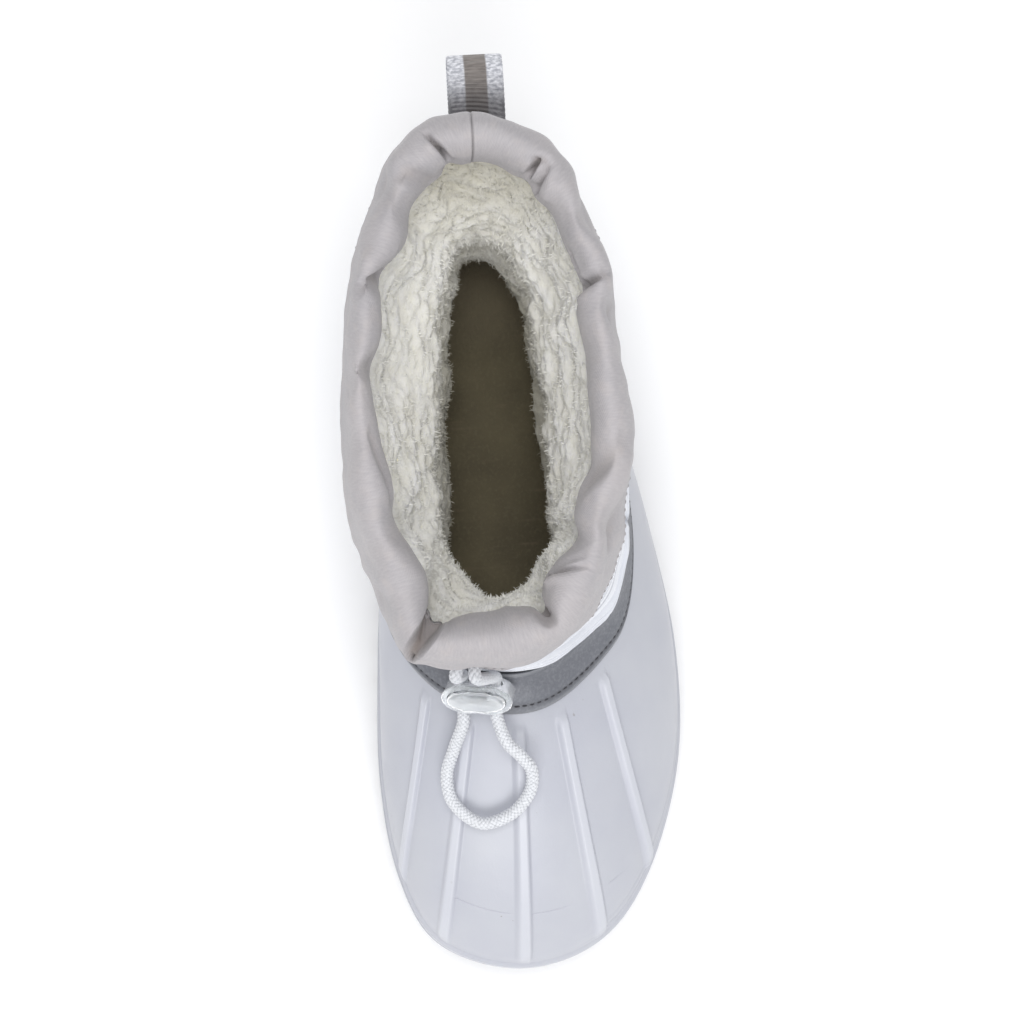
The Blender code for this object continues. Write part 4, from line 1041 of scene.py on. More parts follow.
def make_band(material):
    """The grey trim over the join of shell and shaft, with a sunk stitch line near its lower edge."""
    u = np.arange(620) / 620
    t = np.linspace(BAND_LOW, BAND_HIGH, 26)
    grid_u, grid_t = np.meshgrid(u, t)
    share = (grid_t - t[0]) / (t[-1] - t[0])
    base = shaft_face(grid_t) * ease((grid_t - 0.985) / 0.125) + 2.5 * GAP
    width = np.linalg.norm(skin(u, t[-1]) - skin(u, t[0]), axis=-1)
    away = (share - BAND_STITCH / width) * width
    groove = bell(away, 0.0005)
    edges = np.minimum(share, 1 - share) * width
    puff = 0.0004 * np.sin(math.pi * share) + 0.0003 * soft_noise(skin(grid_u, grid_t), 0.018, 5)
    thick = BAND_WALL * (0.45 + 0.55 * ease(edges / 0.0012)) - 0.0004 * groove + puff
    flat = layer(grid_u, grid_t, base)
    for _ in range(30):
        flat[1:-1] = (flat[:-2] + 2 * flat[1:-1] + flat[2:]) / 4
    face = flat + grid_normals(flat) * thick[..., None]
    back = layer(grid_u[::5], grid_t[::5], base[::5])[::-1]
    rows = np.concatenate([face, back])
    values = {"rim": np.zeros(rows.shape[:2]), "hollow": np.zeros(rows.shape[:2])}
    values["rim"][: len(t)] = 1 - ease(edges / 0.0011)
    # Painted shade along the sunk stitch line.
    values["hollow"][: len(t)] = groove
    made = add_grid("instep_trim", rows, close_rows=True, values=values)
    return finish_piece(face_out(made), material, "instep_band")


def stitches(name, line, normals, material, length=STITCH_LENGTH, spacing=STITCH_SPACING):
    """Thread stitches along a line of points, each a short arch that dips into the cloth at its ends."""
    along = travelled(line)
    count = int(along[-1] / spacing)
    points, faces, sides = [], [], 6
    for k in range(count):
        places = (k + 0.5) * spacing + length * np.linspace(-0.5, 0.5, 7)
        middle = np.stack([np.interp(places, along, line[:, axis]) for axis in range(3)], axis=1)
        normal = unit(np.stack([np.interp(places, along, normals[:, axis]) for axis in range(3)], axis=1))
        arch = STITCH_THICKNESS * np.array([-1.6, -0.2, 0.55, 0.8, 0.55, -0.2, -1.6])
        middle = middle + normal * arch[:, None]
        run = unit(np.gradient(middle, axis=0))
        side = np.cross(run, normal)
        for ring, (spot, a, b) in enumerate(zip(middle, side, normal)):
            for c in range(sides):
                angle = 2 * math.pi * c / sides
                points.append(spot + (a * math.cos(angle) * 1.25 + b * math.sin(angle)) * STITCH_THICKNESS)
        base = len(points) - 7 * sides
        for ring in range(6):
            for c in range(sides):
                d = (c + 1) % sides
                low, high = base + ring * sides, base + (ring + 1) * sides
                faces.append((low + c, low + d, high + d, high + c))
    made = add_mesh(name, points, faces)
    return finish_piece(made, material, None)


def band_stitches(material):
    u = np.arange(900) / 900
    width = np.linalg.norm(skin(u, BAND_HIGH) - skin(u, BAND_LOW), axis=-1)
    t = BAND_LOW + (BAND_HIGH - BAND_LOW) * BAND_STITCH / width
    face = shaft_face(t) * ease((t - 0.985) / 0.125) + 2.5 * GAP + BAND_WALL - 0.0001
    normals = outward(u, t)
    line = skin(u, t) + normals * face[:, None]
    return stitches("instep_trim_stitches", closed_line(line), closed_line(normals), material)


def make_shaft(material):
    """The coated cloth shaft, with crinkles, seams, and glossy folds over the trim on the outer side."""
    u = np.arange(400) / 400
    t = np.concatenate([
        np.linspace(0.92, 1.10, 12)[:-1], np.linspace(1.10, 1.34, 76)[:-1], np.linspace(1.34, 1.80, 46),
    ])
    grid_u, grid_t = np.meshgrid(u, t)
    flat = skin(grid_u, grid_t)
    side = ease((grid_u - 0.17) / 0.10) * (1 - ease((grid_u - 0.43) / 0.06))
    folds = np.zeros(grid_u.shape)
    for place, wide, high in GLOSSY_FOLDS:
        drift = 0.008 * np.sin(grid_u * 38 + place * 20)
        folds += high * bell(grid_t - place - drift, wide)
    crinkles = 0.0007 * soft_noise(flat * [1, 1, 0.55], 0.016, 11) + 0.0004 * soft_noise(flat, 0.007, 12)
    room = ease((grid_t - 1.11) / 0.05)
    tucked = SHAFT_TUCK * ease((grid_t - hem_line(grid_u) - 0.01) / 0.06)
    seams = np.zeros(grid_u.shape)
    for place in SHAFT_SEAMS:
        away = ((grid_u - place + 0.5) % 1.0 - 0.5) * 0.42
        seams += bell(away, 0.0011)
    relief = room * (folds * (0.25 + 0.75 * side) + crinkles - 0.0008 * seams + 0.0006) - tucked
    outer = flat + outward(grid_u, grid_t) * (shaft_face(grid_t) + relief)[..., None]
    inner_t = t[::-8]
    tucked_in = SHAFT_TUCK * ease((inner_t[:, None] - hem_line(u)[None] - 0.01) / 0.06)
    inner_offset = (shaft_face(inner_t) - SHAFT_WALL)[:, None] - tucked_in
    inner = layer(*np.meshgrid(u, inner_t), inner_offset)
    rows = np.concatenate([outer, inner])
    hollow = np.zeros(rows.shape[:2])
    # Painted shade: lines between and above the glossy folds, along the seams and at the trim.
    between = np.zeros(grid_u.shape)
    for place in FOLD_LINES:
        drift = 0.008 * np.sin(grid_u * 38 + place * 20)
        wide = 0.0055 + 0.028 * max(0.0, place - 1.25)
        between += side * bell(grid_t - place - drift, wide)
    at_trim = bell(grid_t - 1.115, 0.006)
    hollow[: len(t)] = np.clip(seams * room + 0.6 * at_trim + 1.2 * between, 0, 1.2)
    made = add_grid("boot_shaft", rows, close_rows=True, values={"hollow": hollow})
    return finish_piece(face_out(made), material, "shaft")


def reach(table, u):
    """A closed table of reaches, smoothed a little."""
    rows = np.array(table)
    places = np.concatenate([rows[:, 0] - 1, rows[:, 0], rows[:, 0] + 1])
    values = np.tile(rows[:, 1], 3)
    shifts = np.linspace(-0.005, 0.005, 7)
    return sum(np.interp(np.asarray(u) % 1.0 + shift, places, values) for shift in shifts) / len(shifts)


def hem_line(u):
    """The collar's lower edge: a little higher on its outer side, where more of the shaft shows."""
    return around("hem", u) + HEM_LIFT * bell(u - HEM_LIFT_PLACE, HEM_LIFT_WIDTH)


def collar_keys(u):
    """Key rows of the collar's outer face from its hem, over the roll and down inside."""
    out, up = plan_normal(collar_ring, u), np.array([0.0, 0.0, 1.0])
    hem, inner, side = hem_line(u), reach(EDGE_REACH, u), reach(SIDE_REACH, u)
    keys = []
    for share in (0.0, 0.17, 0.33, 0.50, 0.67, 0.84):
        wall = CUFF_SLACK + CUFF_WALL + CUFF_PUFF * 1.6 * math.sin(math.pi * share)
        offset = wall + (side - CUFF_SLACK - CUFF_WALL) * ease(share)
        keys.append(layer(u, hem + (CUFF_TOP - hem) * share, offset))
    half = (inner + side) / 2
    centre = collar_ring(u) + out * ((side - inner) / 2)[:, None]
    for angle in ROLL_ANGLES:
        turn = math.radians(angle)
        keys.append(centre + out * (math.cos(turn) * half)[:, None] + up * math.sin(turn) * CUFF_ROLL_HEIGHT)
    keys.append(keys[-1] - up * CUFF_FLAP * 0.5 + out * 0.0004)
    keys.append(keys[-1] - up * CUFF_FLAP * 0.5 + out * 0.0012)
    return np.array(keys)


def collar_grid(columns, steps):
    """The collar's places round, smooth outer face, and ways out from its inner edge and up from its hem."""
    u = np.arange(columns) / columns
    grid = smooth_rows(collar_keys(u), steps)
    edge_row = (5 + len(ROLL_ANGLES)) * steps
    lengths = np.linalg.norm(np.diff(grid, axis=0), axis=-1)
    from_hem = np.concatenate([np.zeros((1, columns)), np.cumsum(lengths, axis=0)])
    return u, grid, from_hem[edge_row] - from_hem, from_hem


def way_round(place):
    """Distance round the collar's widest line to a place, in metres."""
    u = np.arange(721) / 720
    return np.interp(place, u, travelled(collar_ring(u)))


def crease_depth(round_way, out, whole):
    """Depth of the collar's creases, and how much painted shade each place gets, 0 to 1."""
    depth, hollow, lift = (np.zeros(out.shape) for _ in range(3))
    for a, b, c, d, wide, to_wide, deep, to_deep, lap in CREASES:
        start, end = np.array([way_round(a), b]), np.array([way_round(c), d])
        run = end - start
        x, y = (round_way - start[0] + whole / 2) % whole - whole / 2, out - start[1]
        along = (x * run[0] + y * run[1]) / (run @ run)
        share = np.clip(along, 0, 1)
        aside = x - share * run[0]
        away = np.hypot(aside, y - share * run[1])
        here, here_deep = wide + (to_wide - wide) * share, deep + (to_deep - deep) * share
        over = lap * aside > 0
        reach_over = np.where(over, 0.45 * here, here * (1.5 if lap else 1.0))
        cut = here_deep * bell(away, reach_over)
        rise = np.where(over, 0.40, 0.16) * here_deep
        between = ease(along / 0.2) * ease((1 - along) / 0.2)
        lift += rise * between * bell(away - 2.2 * here, 1.3 * here)
        depth = np.maximum(depth, cut)
        hollow = np.maximum(hollow, np.clip(cut / 0.0036 - 0.25, 0, 1))
    return depth - np.minimum(lift, 0.0014), hollow


def fold_down(points, u, round_way, out, whole):
    """Folds the roll down beside its front, steeply on one side; returns the points and the fold's painted
    shade.
    """
    share = np.clip(out / FOLD_OUT, 0, 1) ** 0.75
    middle = way_round(FOLD_PLACE) + (way_round(FOLD_END) - way_round(FOLD_PLACE)) * share
    half = FOLD_HALF + (FOLD_END_HALF - FOLD_HALF) * share
    away = round_way - middle
    narrow = half / FOLD_HALF
    left = ease((half - away) / (FOLD_STEEP * narrow + 0.0003))
    inside = left * ease((half + away) / (FOLD_GENTLE * narrow + 0.0003))
    inside = inside * (1 - ease((out - FOLD_OUT) / 0.010))
    normal, ring = plan_normal(collar_ring, u), collar_ring(u)
    side, inner = reach(SIDE_REACH, u), np.minimum(reach(EDGE_REACH, u), FOLD_REACH)
    span = ((points - ring) * normal).sum(axis=-1)
    level = points[..., 2] - ring[..., 2]
    level_row = 5 * ROLL_STEPS
    across = 1 - np.clip(out / out[level_row], 0, 1)
    on_roll = ease((level + 0.001) / 0.002) * (out > 0)
    floor_span = side - FOLD_GROOVE - across * (side - FOLD_GROOVE + inner)
    new_span = np.where(out > 0, floor_span, -inner + 0 * span)
    crease = 0.0016 * bell(away - half + 0.0022, 0.0016)
    new_level = FOLD_RISE * np.sin(math.pi * across**0.75) - 0.0012 * across - crease
    edge_level = level[np.argmin(np.abs(out), axis=0), np.arange(level.shape[1])]
    new_level = np.where(out > 0, new_level, level - edge_level[None])
    keep = np.where(out > 0, on_roll, 1.0)
    shift = normal * ((new_span - span) * keep)[..., None]
    shift = shift + ((new_level - level) * keep)[..., None] * [0.0, 0.0, 1.0]
    groove = normal * (-FOLD_GROOVE * (1 - on_roll) * (out > 0))[..., None]
    shade = inside * (1.0 + 0.5 * share) + 0.7 * inside * bell(away - half + 0.0014, 0.0010)
    return points + inside[..., None] * (shift + groove), shade


def make_cuff(material, thread):
    """The gathered collar: cloth with its creases, the deep front fold, the back seam and the cord's slit."""
    columns = 840
    u, outer, out, from_hem = collar_grid(columns, ROLL_STEPS)
    rows = len(outer)
    place = np.broadcast_to(u, out.shape)
    whole = float(way_round(1.0))
    round_way = np.broadcast_to(way_round(u), out.shape)
    depth, hollow = crease_depth(round_way, out, whole)
    at_back = np.abs((place + 0.5) % 1.0 - 0.5) < 0.04
    seam = bell(outer[..., 1] - BACK_SEAM_SIDE, 0.00030) * ease((out + 0.002) / 0.002) * at_back
    wander = 0.0007 * soft_noise(outer, 0.022, 21) + 0.0003 * soft_noise(outer, 0.009, 22)
    gathers = soft_noise(outer * [1, 1, 0.20], 0.0095, 23) + 0.6 * soft_noise(outer * [1, 1, 0.3], 0.0048, 24)
    wander = wander + 0.0009 * gathers * ease((out - 0.017) / 0.012)
    near_hem = ease(from_hem / 0.004)
    near_flap = ease((out + 0.0045) / 0.004)
    relief = (-depth * (0.25 + 0.75 * near_hem) + wander) * near_flap - 0.0005 * seam
    relief += 0.0005 * bell(from_hem - 0.0035, 0.002)
    normals = grid_normals(outer)
    outer = outer + normals * relief[..., None]
    outer, shade = fold_down(outer, place, round_way, out, whole)
    normals = grid_normals(outer)
    sewn = int(np.argmin(np.abs(from_hem.mean(axis=1) - HEM_STITCH)))
    stitches("collar_stitches", closed_line(outer[sewn]), closed_line(normals[sewn]), thread)
    pick = np.unique(np.append(np.arange(0, rows, 2), rows - 1))
    inner = (outer - normals * CUFF_WALL * 0.6)[pick][::-1]
    points = np.concatenate([outer, inner])
    zeros = np.zeros(inner.shape[:2])
    # Painted shade of the creases and of the deep front fold.
    hollow = np.maximum(hollow, 0.95 * shade)
    values = {"hollow": np.concatenate([hollow, zeros]), "seam": np.concatenate([seam, zeros])}
    made = add_grid("gathered_collar", points, close_rows=True, values=values)
    open_slit(made)
    return finish_piece(face_out(made), material, "collar_cuff")


def lock_frame():
    """Where the cord lock lies: its middle, and its directions along the cords, across them and out."""
    u = np.array([LOCK_PLACE])
    out = outward(u, np.array([1.0]))[0]
    across = unit(np.array([0.0, 1.0, 0.0]) - out * out[1])
    along = np.cross(across, out)
    middle = layer(u, np.array([LOCK_HEIGHT_PLACE]), np.array([LOCK_CUP * 0.5 + BAND_WALL + LOCK_STAND]))[0]
    return middle, along, across, out


def slit_frame():
    """The slit of the collar's front: its middle, and its directions across the cords, up and out."""
    u, t = np.array([LOCK_PLACE]), np.array([SLIT_PLACE])
    out = outward(u, t)[0]
    across = lock_frame()[2]
    across = unit(across - out * (across @ out))
    middle = layer(u, t, np.array([CUFF_SLACK + CUFF_WALL]))[0]
    return middle, across, np.cross(out, across), out


def slit_reach(points):
    """How far points lie from the slit's middle, as a share of its oval: under 1 is inside it."""
    middle, across, rise, out = slit_frame()
    x, y, z = ((points - middle) @ axis for axis in (across, rise, out))
    straight = (SLIT_WIDTH - SLIT_HEIGHT) / 2
    reach = np.hypot(np.maximum(np.abs(x) - straight, 0), y) / (SLIT_HEIGHT / 2)
    return np.where(np.abs(z) < 0.008, reach, 9.0)


def open_slit(collar):
    """Takes the cloth out of the slit."""
    def take_out(shape):
        middles = np.array([face.calc_center_median() for face in shape.faces])
        inside = slit_reach(middles) < 0.92
        shape.faces.ensure_lookup_table()
        bmesh.ops.delete(shape, geom=[shape.faces[k] for k in np.flatnonzero(inside)], context="FACES")

    reshape(collar, take_out)


def slit_edging(material):
    """The stitched edge round the slit: a close row of satin stitches."""
    middle, across, rise, out = slit_frame()
    straight = (SLIT_WIDTH - SLIT_HEIGHT) / 2
    route = []
    for k in range(96):
        angle = 2 * math.pi * k / 96
        wide = straight * np.sign(math.cos(angle)) + SLIT_HEIGHT / 2 * math.cos(angle)
        route.append(middle + across * wide + rise * SLIT_HEIGHT / 2 * math.sin(angle) + out * 0.0004)
    route = smooth_route([*route, route[0]], 0.00022)
    along = travelled(route)
    radius = 0.00062 + 0.00014 * np.abs(np.sin(along / 0.00052 * math.pi))
    made = tube("slit_edging", route, radius[:, None], 10)
    return finish_piece(made, material, None)


def lining_rows(u, t, depth):
    """The fleece's inner face at places up the boot, at a depth under the lining's outer face."""
    shell_side = -shell_wall(t) - 2.5 * GAP
    shaft_side = shaft_face(t) - SHAFT_WALL - GAP
    face = np.where(t < 0.85, shell_side, shaft_side)
    slack = LINING_SLACK * around("slack", u) * ease((t - 0.30) / 0.55) * (1 - ease((t - 1.32) / 0.56))
    places, normal = layer(u, t, face), outward(u, t)
    heel, toe = np.array(SPINE)
    share = np.clip((places[..., :2] - heel) @ (toe - heel) / ((toe - heel) @ (toe - heel)), 0, 1)
    level = unit(places[..., :2] - heel - share[..., None] * (toe - heel))
    flat = np.sqrt(np.maximum(1 - normal[..., 2:] ** 2, 0))
    from_spine = np.concatenate([level * flat, normal[..., 2:]], axis=-1)
    direction = normal + (from_spine - normal) * ease((t - 0.55) / 0.40)[..., None]
    return places - direction * (slack + depth)[..., None], -unit(direction)


def pile_depth(u, t):
    """Thickness of the fleece with its pile: thin under the collar's flap, then full."""
    edge = reach(EDGE_REACH, u)
    full = LINING_FOOT + (LINING_WALL - LINING_FOOT) * ease((t - 0.60) / 0.20)
    depth = full + (edge - 0.0010 - full) * ease((t - 1.40) / 0.32)
    behind_flap = np.maximum(edge - 0.0060, 0.0010)
    depth = depth + (behind_flap - depth) * ease((t - 1.72) / 0.22)
    return depth + 0.0026 * bell(u - FOLD_PLACE, 0.020) * ease((t - 1.60) / 0.15)


def make_fleece(material):
    """The fleece lining: a lumpy woolly face down to the foot, and a plain back."""
    u = np.arange(600) / 600
    t = np.concatenate([
        np.linspace(0.12, 0.80, 36)[:-1], np.linspace(0.80, 1.70, 78)[:-1], np.linspace(1.70, 1.95, 40),
    ])
    grid_u, grid_t = np.meshgrid(u, t)
    face, inward = lining_rows(grid_u, grid_t, pile_depth(grid_u, grid_t))
    puffs = soft_noise(face, 0.0100, 31)
    curls = ease(1 - lumps(face, 0.0046, 32))
    knots = soft_noise(face, 0.0024, 33)
    broad = soft_noise(face, 0.022, 34)
    under_flap = 1 - 0.6 * ease((grid_t - 1.90) / 0.04)
    relief = (0.0016 * broad + 0.0013 * puffs + 0.0012 * curls + 0.0004 * knots + 0.0002) * under_flap
    up = np.array([0.0, 0.0, 1.0])
    face = face + inward * relief[..., None] + up * (0.0010 * curls * under_flap)[..., None]
    back_t = np.array([1.95, 1.80, 1.50, 1.18, 1.0, 0.82, 0.60, 0.30, 0.12])
    back_u, back_t = np.meshgrid(u, back_t)
    back = lining_rows(back_u, back_t, 0.0002 + 0 * back_t)[0]
    rows = np.concatenate([face, back])
    hollow = np.zeros(rows.shape[:2])
    # Painted shade between the curls and puffs.
    hollow[: len(t)] = np.clip(0.45 - 0.45 * curls - 0.35 * puffs, 0, 1)
    made = add_grid("fleece_sock", rows, close_rows=True, values={"hollow": hollow})
    return finish_piece(face_out(made), material, "fleece_lining"), face, inward


def make_pile(name, face, inward, material, count, seed, length):
    """Curled fibres on the fleece: short bent ribbons that soften its outline."""
    numbers = np.random.default_rng(seed)
    rows, columns = face.shape[:2]
    first_row = int(rows * 0.22)
    r = numbers.integers(first_row, rows - 3, count)
    c = numbers.integers(0, columns, count)
    root, normal = face[r, c], inward[r, c]
    normal = unit(normal + [0.0, 0.0, 0.5])
    aside = unit(np.cross(normal, numbers.normal(size=(count, 3))))
    bend = unit(np.cross(normal, aside) + 0.4 * normal)
    reach = length * numbers.uniform(0.55, 1.25, (count, 1))
    lean = numbers.uniform(-0.6, 0.9, (count, 1))
    wide = numbers.uniform(0.00012, 0.00024, (count, 1))
    points = []
    for share in (0.0, 0.33, 0.67, 1.0):
        turn = share * (1.3 + 1.2 * lean)
        curl = normal * np.sin(turn) * 0.62 + bend * (1 - np.cos(turn)) * 0.62 + aside * lean * 0.25 * share
        spot = root + reach * curl
        taper = wide * (1 - 0.75 * share)
        points += [spot - aside * taper - normal * 0.0003, spot + aside * taper - normal * 0.0003]
    points = np.stack(points, axis=1).reshape(-1, 3)
    base = np.arange(count)[:, None] * 8
    faces = np.concatenate([base + np.array([k, k + 1, k + 3, k + 2]) for k in (0, 2, 4)], axis=1)
    faces = faces.reshape(-1, 4)
    made = add_mesh(name, points, faces, values={"hollow": np.zeros(len(points))})
    return finish_piece(made, material, None)


def make_pull_loop(material):
    """The ribbon loop at the heel: crosswise ribs all along it, and a stripe down its middle."""
    hem = float(around("hem", 0.0)) - 0.02
    keys = [
        # back, up, share of the root's bend
        (0.00, 0.00, 1.0), (0.06, 0.22, 1.0), (0.30, 0.40, 0.6), (0.60, 0.52, 0.2),
        (0.86, 0.46, 0.0), (0.98, 0.20, 0.0), (1.00, -0.10, 0.0), (0.93, -0.40, 0.0),
        (0.70, -0.56, 0.1), (0.40, -0.62, 0.4), (0.12, -0.74, 0.9), (0.00, -0.95, 1.0),
    ]
    wide = np.linspace(-0.5, 0.5, 33)
    near = skin(np.array([TAPE_PLACE - 0.01, TAPE_PLACE + 0.01]), hem)
    u_side = TAPE_PLACE + wide * TAPE_WIDTH * 0.02 / abs(near[1, 1] - near[0, 1])
    root = layer(u_side, hem, GAP + TAPE_THICKNESS / 2 + 0 * wide)
    middle = root[16]
    bend_scale = 0.002
    scale = np.array([TAPE_REACH, TAPE_OPENING, bend_scale])
    path = smooth_route(np.array([*keys, keys[0]]) * scale, 0.00018)[:-1]
    path[:, 2] = np.clip(path[:, 2] / bend_scale, 0, 1)
    after, before = np.roll(path, -1, axis=0), np.roll(path, 1, axis=0)
    run = unit((after - before)[:, :2])
    along = travelled(path[:, :2])
    rib = np.abs(np.sin(along / TAPE_RIB * math.pi)) ** 0.7
    rows = []
    for side in (1, -1):
        thick = TAPE_THICKNESS / 2 - 0.00016 + 0.00026 * rib
        edge = np.clip((0.5 - np.abs(wide)) / 0.03, 0, 1) ** 0.5
        offset = side * (thick[:, None] * (0.35 + 0.65 * edge[None]))
        x = middle[0] - path[:, :1] - run[:, 1:] * offset + path[:, 2:] * (root[:, 0] - middle[0])[None]
        z = middle[2] - TAPE_OPENING * 0.5 + path[:, 1:2] + run[:, :1] * offset
        wave = 0.00012 * np.sign(wide)[None] * (np.abs(wide) > 0.49)[None] * rib[:, None]
        y = middle[1] + (wide * TAPE_WIDTH)[None] + wave + 0 * x
        rows.append(np.stack([x, y, z], axis=-1))
    points = np.concatenate([rows[0], rows[1][:, ::-1]], axis=1)
    across = np.concatenate([wide, wide[::-1]])
    stripe = np.broadcast_to((np.abs(across) < 0.205).astype(float), points.shape[:2])
    # Painted shadow of the collar: darkest a little way out from the root, lighter at the root itself and none
    # towards the loop's end.
    depth = (points[..., 0] - middle[0]) / -TAPE_REACH
    hollow = ease((0.82 - depth) / 0.50) * (0.4 + 0.6 * ease(depth / 0.15))
    made = add_grid("heel_pull_loop", points, close_rows=True, values={"stripe": stripe, "hollow": hollow})
    return finish_piece(face_out(made), material, "pull_loop")


def lock_outline(inset, count):
    """The lock's two-lobed plan."""
    angle = np.arange(count) / count * 2 * math.pi
    wide = (LOCK_WIDTH / 2 - inset) * np.sign(np.cos(angle)) * np.abs(np.cos(angle)) ** 0.8
    waist = 1 - 0.10 * bell(wide, LOCK_WAIST)
    return wide, (LOCK_LENGTH / 2 - inset) * np.sin(angle) * waist


def lock_solid(name, levels):
    """A solid on the lock's plan: levels of inset and height, closed at both ends."""
    size = 96
    rings = []
    for inset, height in levels:
        wide, length = lock_outline(inset, size)
        rings.append(np.stack([wide, length, np.full(size, height)], axis=1))
    faces = grid_faces(len(levels), size)[0].tolist()
    faces += [list(range(size))[::-1], [(len(levels) - 1) * size + k for k in range(size)]]
    return add_solid(name, np.concatenate(rings).tolist(), faces)


def round_bar(name, radius, start, end, sides=32, rise=0.0, drop=0.0):
    """A bar between two points, for cutting: round, and stretched up by a rise and down by a drop."""
    start, end = np.array(start, float), np.array(end, float)
    run = unit(end - start)
    first = unit(np.cross(run, [0.0, 0.0, 1.0])) if abs(run[2]) < 0.9 else np.array([1.0, 0.0, 0.0])
    second = np.cross(first, run)
    if second[2] < 0:
        second = -second
    points = []
    for spot in (start, end):
        for k in range(sides):
            angle = 2 * math.pi * k / sides
            high = radius * math.sin(angle)
            high += rise if high > 1e-6 else (-drop if high < -1e-6 else 0)
            points.append(spot + first * radius * math.cos(angle) + second * high)
    faces = grid_faces(2, sides)[0].tolist() + [list(range(sides)), list(range(sides, 2 * sides))]
    return add_solid(name, np.array(points).tolist(), faces)


def seat_in_lock(thing):
    """Moves a piece modelled round the lock's middle to its place: X across the cords, Y along them, Z out."""
    middle, along, across, out = (Vector(value) for value in lock_frame())
    turn = Matrix((across, along, out)).transposed()
    thing.data.transform(Matrix.LocRotScale(middle, turn, None))
    return thing


def make_lock(body_material, button_material, steel):
    """The cord lock: a milky cup, its sprung button and the spring, which the cords pass on both sides."""
    low, rim = -LOCK_CUP / 2, LOCK_CUP / 2
    floor = low + LOCK_WALL
    corner = [
        (LOCK_ROUND * (1 - math.sin(a)), low + LOCK_ROUND * (1 - math.cos(a)))
        for a in np.linspace(0, math.pi / 2, 6)
    ]
    lip = [(0.0, rim - 0.0009), (-0.00035, rim - 0.0006), (-0.00035, rim - 0.0003), (0.0, rim)]
    body = lock_solid("lock_cup", [*corner, *lip])
    carve(body, lock_solid("cup_hollow", [(LOCK_WALL, floor), (LOCK_WALL, rim + LOCK_WALL)]))
    channel = CORD_DIAMETER / 2 + CORD_CLEARANCE
    for side in (-1, 1):
        x = side * CORD_SPACING / 2
        carve(body, round_bar("hole", channel, (x, -LOCK_LENGTH, 0), (x, LOCK_LENGTH, 0)))
    soften(body)
    finish_piece(seat_in_lock(body), body_material, "cord_lock_body")

    inset = LOCK_WALL + GAP
    start, top = floor + GAP + BUTTON_TRAVEL, rim + BUTTON_STAND + GAP
    crown = [
        (inset + LOCK_ROUND * (1 - math.cos(a)), top - LOCK_ROUND * (1 - math.sin(a)))
        for a in np.linspace(0, math.pi / 2, 6)
    ]
    button = lock_solid("lock_plunger", [(inset, start), *crown])
    for side in (-1, 1):
        x = side * CORD_SPACING / 2
        ends = (x, -LOCK_LENGTH, 0), (x, LOCK_LENGTH, 0)
        carve(button, round_bar("slot", channel, *ends, rise=BUTTON_TRAVEL, drop=LOCK_CUP))
    bore_top = top - 0.0022
    carve(button, round_bar("bore", SPRING_RADIUS + 2 * SPRING_WIRE, (0, 0, start - 0.001), (0, 0, bore_top)))
    for vertex in button.data.vertices:
        if vertex.co.z > top - LOCK_ROUND - 1e-5:
            vertex.co.z -= EAR_STEP * float(ease((abs(vertex.co.x) - EAR_START) / 0.0012))
    soften(button)
    finish_piece(seat_in_lock(button), button_material, "cord_lock_button", "lock_button")

    turns, bottom, ceiling = 7, floor + SPRING_WIRE, bore_top - 2 * SPRING_WIRE
    angle = np.linspace(0, 2 * math.pi * turns, turns * 24)
    height = bottom + (ceiling - bottom) * angle / angle[-1]
    coil = np.stack([SPRING_RADIUS * np.cos(angle), SPRING_RADIUS * np.sin(angle), height], axis=1)
    spring = seat_in_lock(tube("lock_spring", coil, SPRING_WIRE, 8))
    finish_piece(spring, steel, None)
    middle, _, _, out = lock_frame()
    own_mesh(spring)


def make_cord(material):
    """The braided drawcord: strands that cross over and under each other all round it."""
    route = smooth_route(CORD_ROUTE, 0.00022)
    along = travelled(route)
    sides, strands = 44, 6
    angle = np.arange(sides) / sides
    a = strands * (angle[None] + along[:, None] / BRAID_PITCH)
    b = strands * (angle[None] - along[:, None] / BRAID_PITCH)
    over = (np.floor(a) + np.floor(b)) % 2
    fa, fb = a - np.floor(a) - 0.5, b - np.floor(b) - 0.5
    upper, lower = np.where(over, fa, fb), np.where(over, fb, fa)
    bump = np.cos(math.pi * upper) ** 0.7 * (0.55 + 0.45 * np.cos(math.pi * lower))
    radius = CORD_DIAMETER / 2 - BRAID_RELIEF * 0.7 + BRAID_RELIEF * bump
    cord = tube("braided_drawcord", route, radius, sides)
    # Painted shade between the strands of the braid.
    attribute = cord.data.attributes.new("hollow", "FLOAT", "POINT")
    values = np.zeros(len(cord.data.vertices), np.float32)
    values[: bump.size] = np.clip(1 - 1.7 * bump, 0, 1).ravel()
    attribute.data.foreach_set("value", values)
    finish_piece(cord, material, "drawcord")
    [tuple(p) for p in smooth_route(CORD_ROUTE, CORD_DIAMETER / 2)]
    return cord


def make_camera():
    data = bpy.data.cameras.new("camera")
    data.lens = LENS
    data.clip_start, data.clip_end = 0.01, 10.0
    camera = bpy.data.objects.new("camera", data)
    bpy.context.scene.collection.objects.link(camera)
    place, target = Vector(CAMERA_PLACE), Vector(CAMERA_TARGET)
    back = (place - target).normalized()
    up = Vector((-math.cos(CAMERA_TURN), math.sin(CAMERA_TURN), 0.0))
    right = up.cross(back).normalized()
    up = back.cross(right)
    camera.matrix_world = Matrix.LocRotScale(place, Matrix((right, up, back)).transposed(), None)
    bpy.context.scene.camera = camera


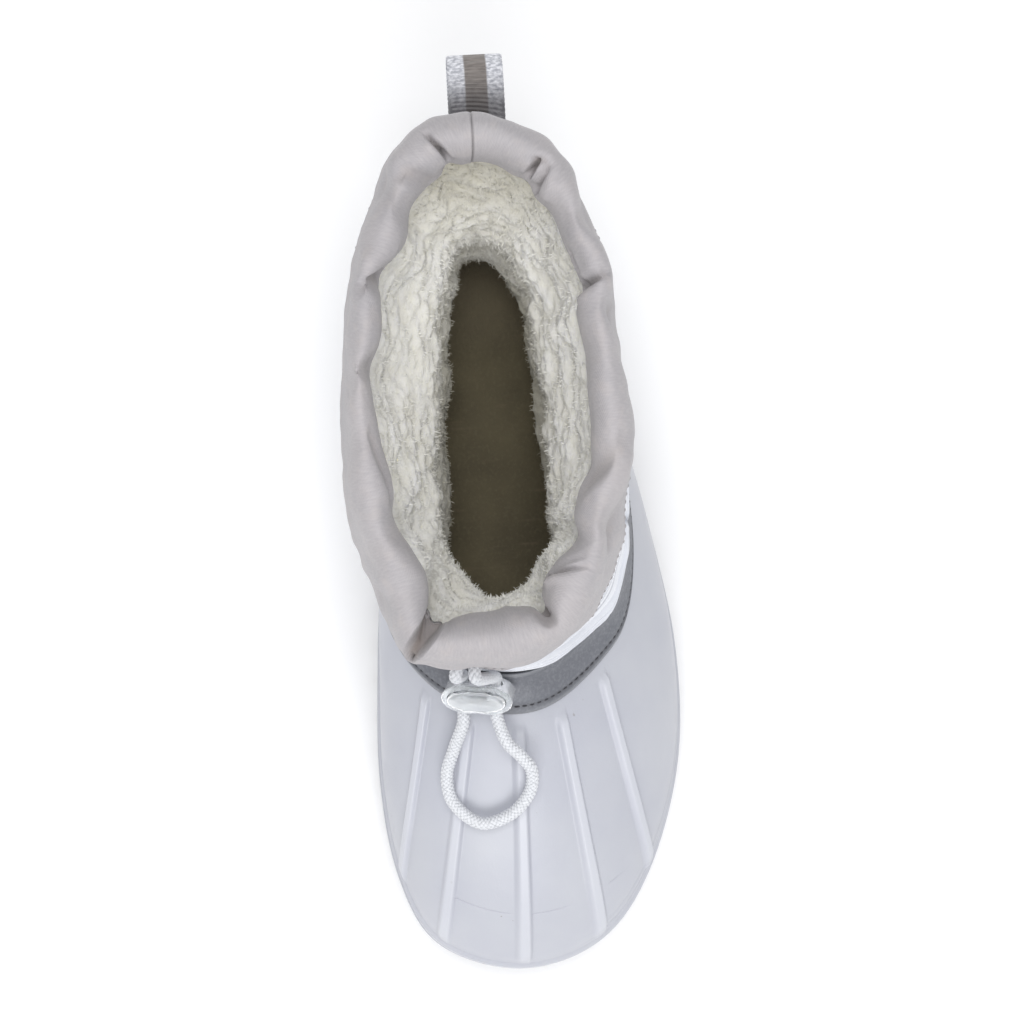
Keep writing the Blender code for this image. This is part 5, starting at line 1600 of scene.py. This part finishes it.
def make_stage():
    """A plain pale floor, soft light all round and two broad lamps over the boot."""
    floor = add_mesh("floor", [(-4, -4, 0), (4, -4, 0), (4, 4, 0), (-4, 4, 0)], [(0, 1, 2, 3)])
    n = Nodes("floor_white")
    n.set(Base_Color=(0.97, 0.97, 0.97, 1), Roughness=0.9, Specular_IOR_Level=0.1)
    floor.data.materials.append(n.material)
    world = bpy.data.worlds.new("studio")
    world.use_nodes = True
    world.node_tree.nodes["Background"].inputs[0].default_value = (0.98, 0.985, 1.0, 1)
    world.node_tree.nodes["Background"].inputs[1].default_value = 0.64
    bpy.context.scene.world = world
    for name, place, size, power in (
        ("key", (1.10, -0.05, 1.20), 0.9, 9.5),
        ("top", (-0.26, -0.06, 1.9), 0.7, 13.5),
    ):
        light = bpy.data.lights.new(name, "AREA")
        light.size = size
        light.energy = power
        lamp = bpy.data.objects.new(name, light)
        lamp.location = place
        lamp.rotation_euler = (Vector((0.08, 0.0, 0.05)) - Vector(place)).to_track_quat("-Z", "Y").to_euler()
        bpy.context.scene.collection.objects.link(lamp)
    bpy.context.scene.view_settings.view_transform = "Standard"


def main():
    make_camera()
    make_cord(cord_material())
    make_stage()
    make_outsole(sole_material())
    make_insole(insole_material())
    make_shell(shell_material())
    make_shaft(shaft_material())
    make_band(band_material())
    band_stitches(thread_material("stitch_dark", colour(62, 62, 66)))
    pale_thread = thread_material("stitch_pale", colour(158, 156, 158))
    make_cuff(twill_material(), pale_thread)
    slit_edging(pale_thread)
    pale = fleece_material("fleece_wool", colour(248, 247, 242), colour(240, 238, 229), PILE_LIFT, 0.40)
    _, face, inward = make_fleece(pale)
    fibre = fleece_material("fleece_fibre", colour(250, 249, 245), colour(243, 241, 233), FIBRE_LIFT, 0.0)
    make_pile("fleece_pile", face, inward, fibre, FIBRES, 7, FIBRE_LENGTH)
    make_pull_loop(tape_material())
    cup = clear_material("lock_clear", colour(240, 244, 246), 0.26, 0.76)
    button = clear_material("button_clear", colour(240, 244, 246), 0.26, 0.70)
    make_lock(cup, button, spring_material())


main()
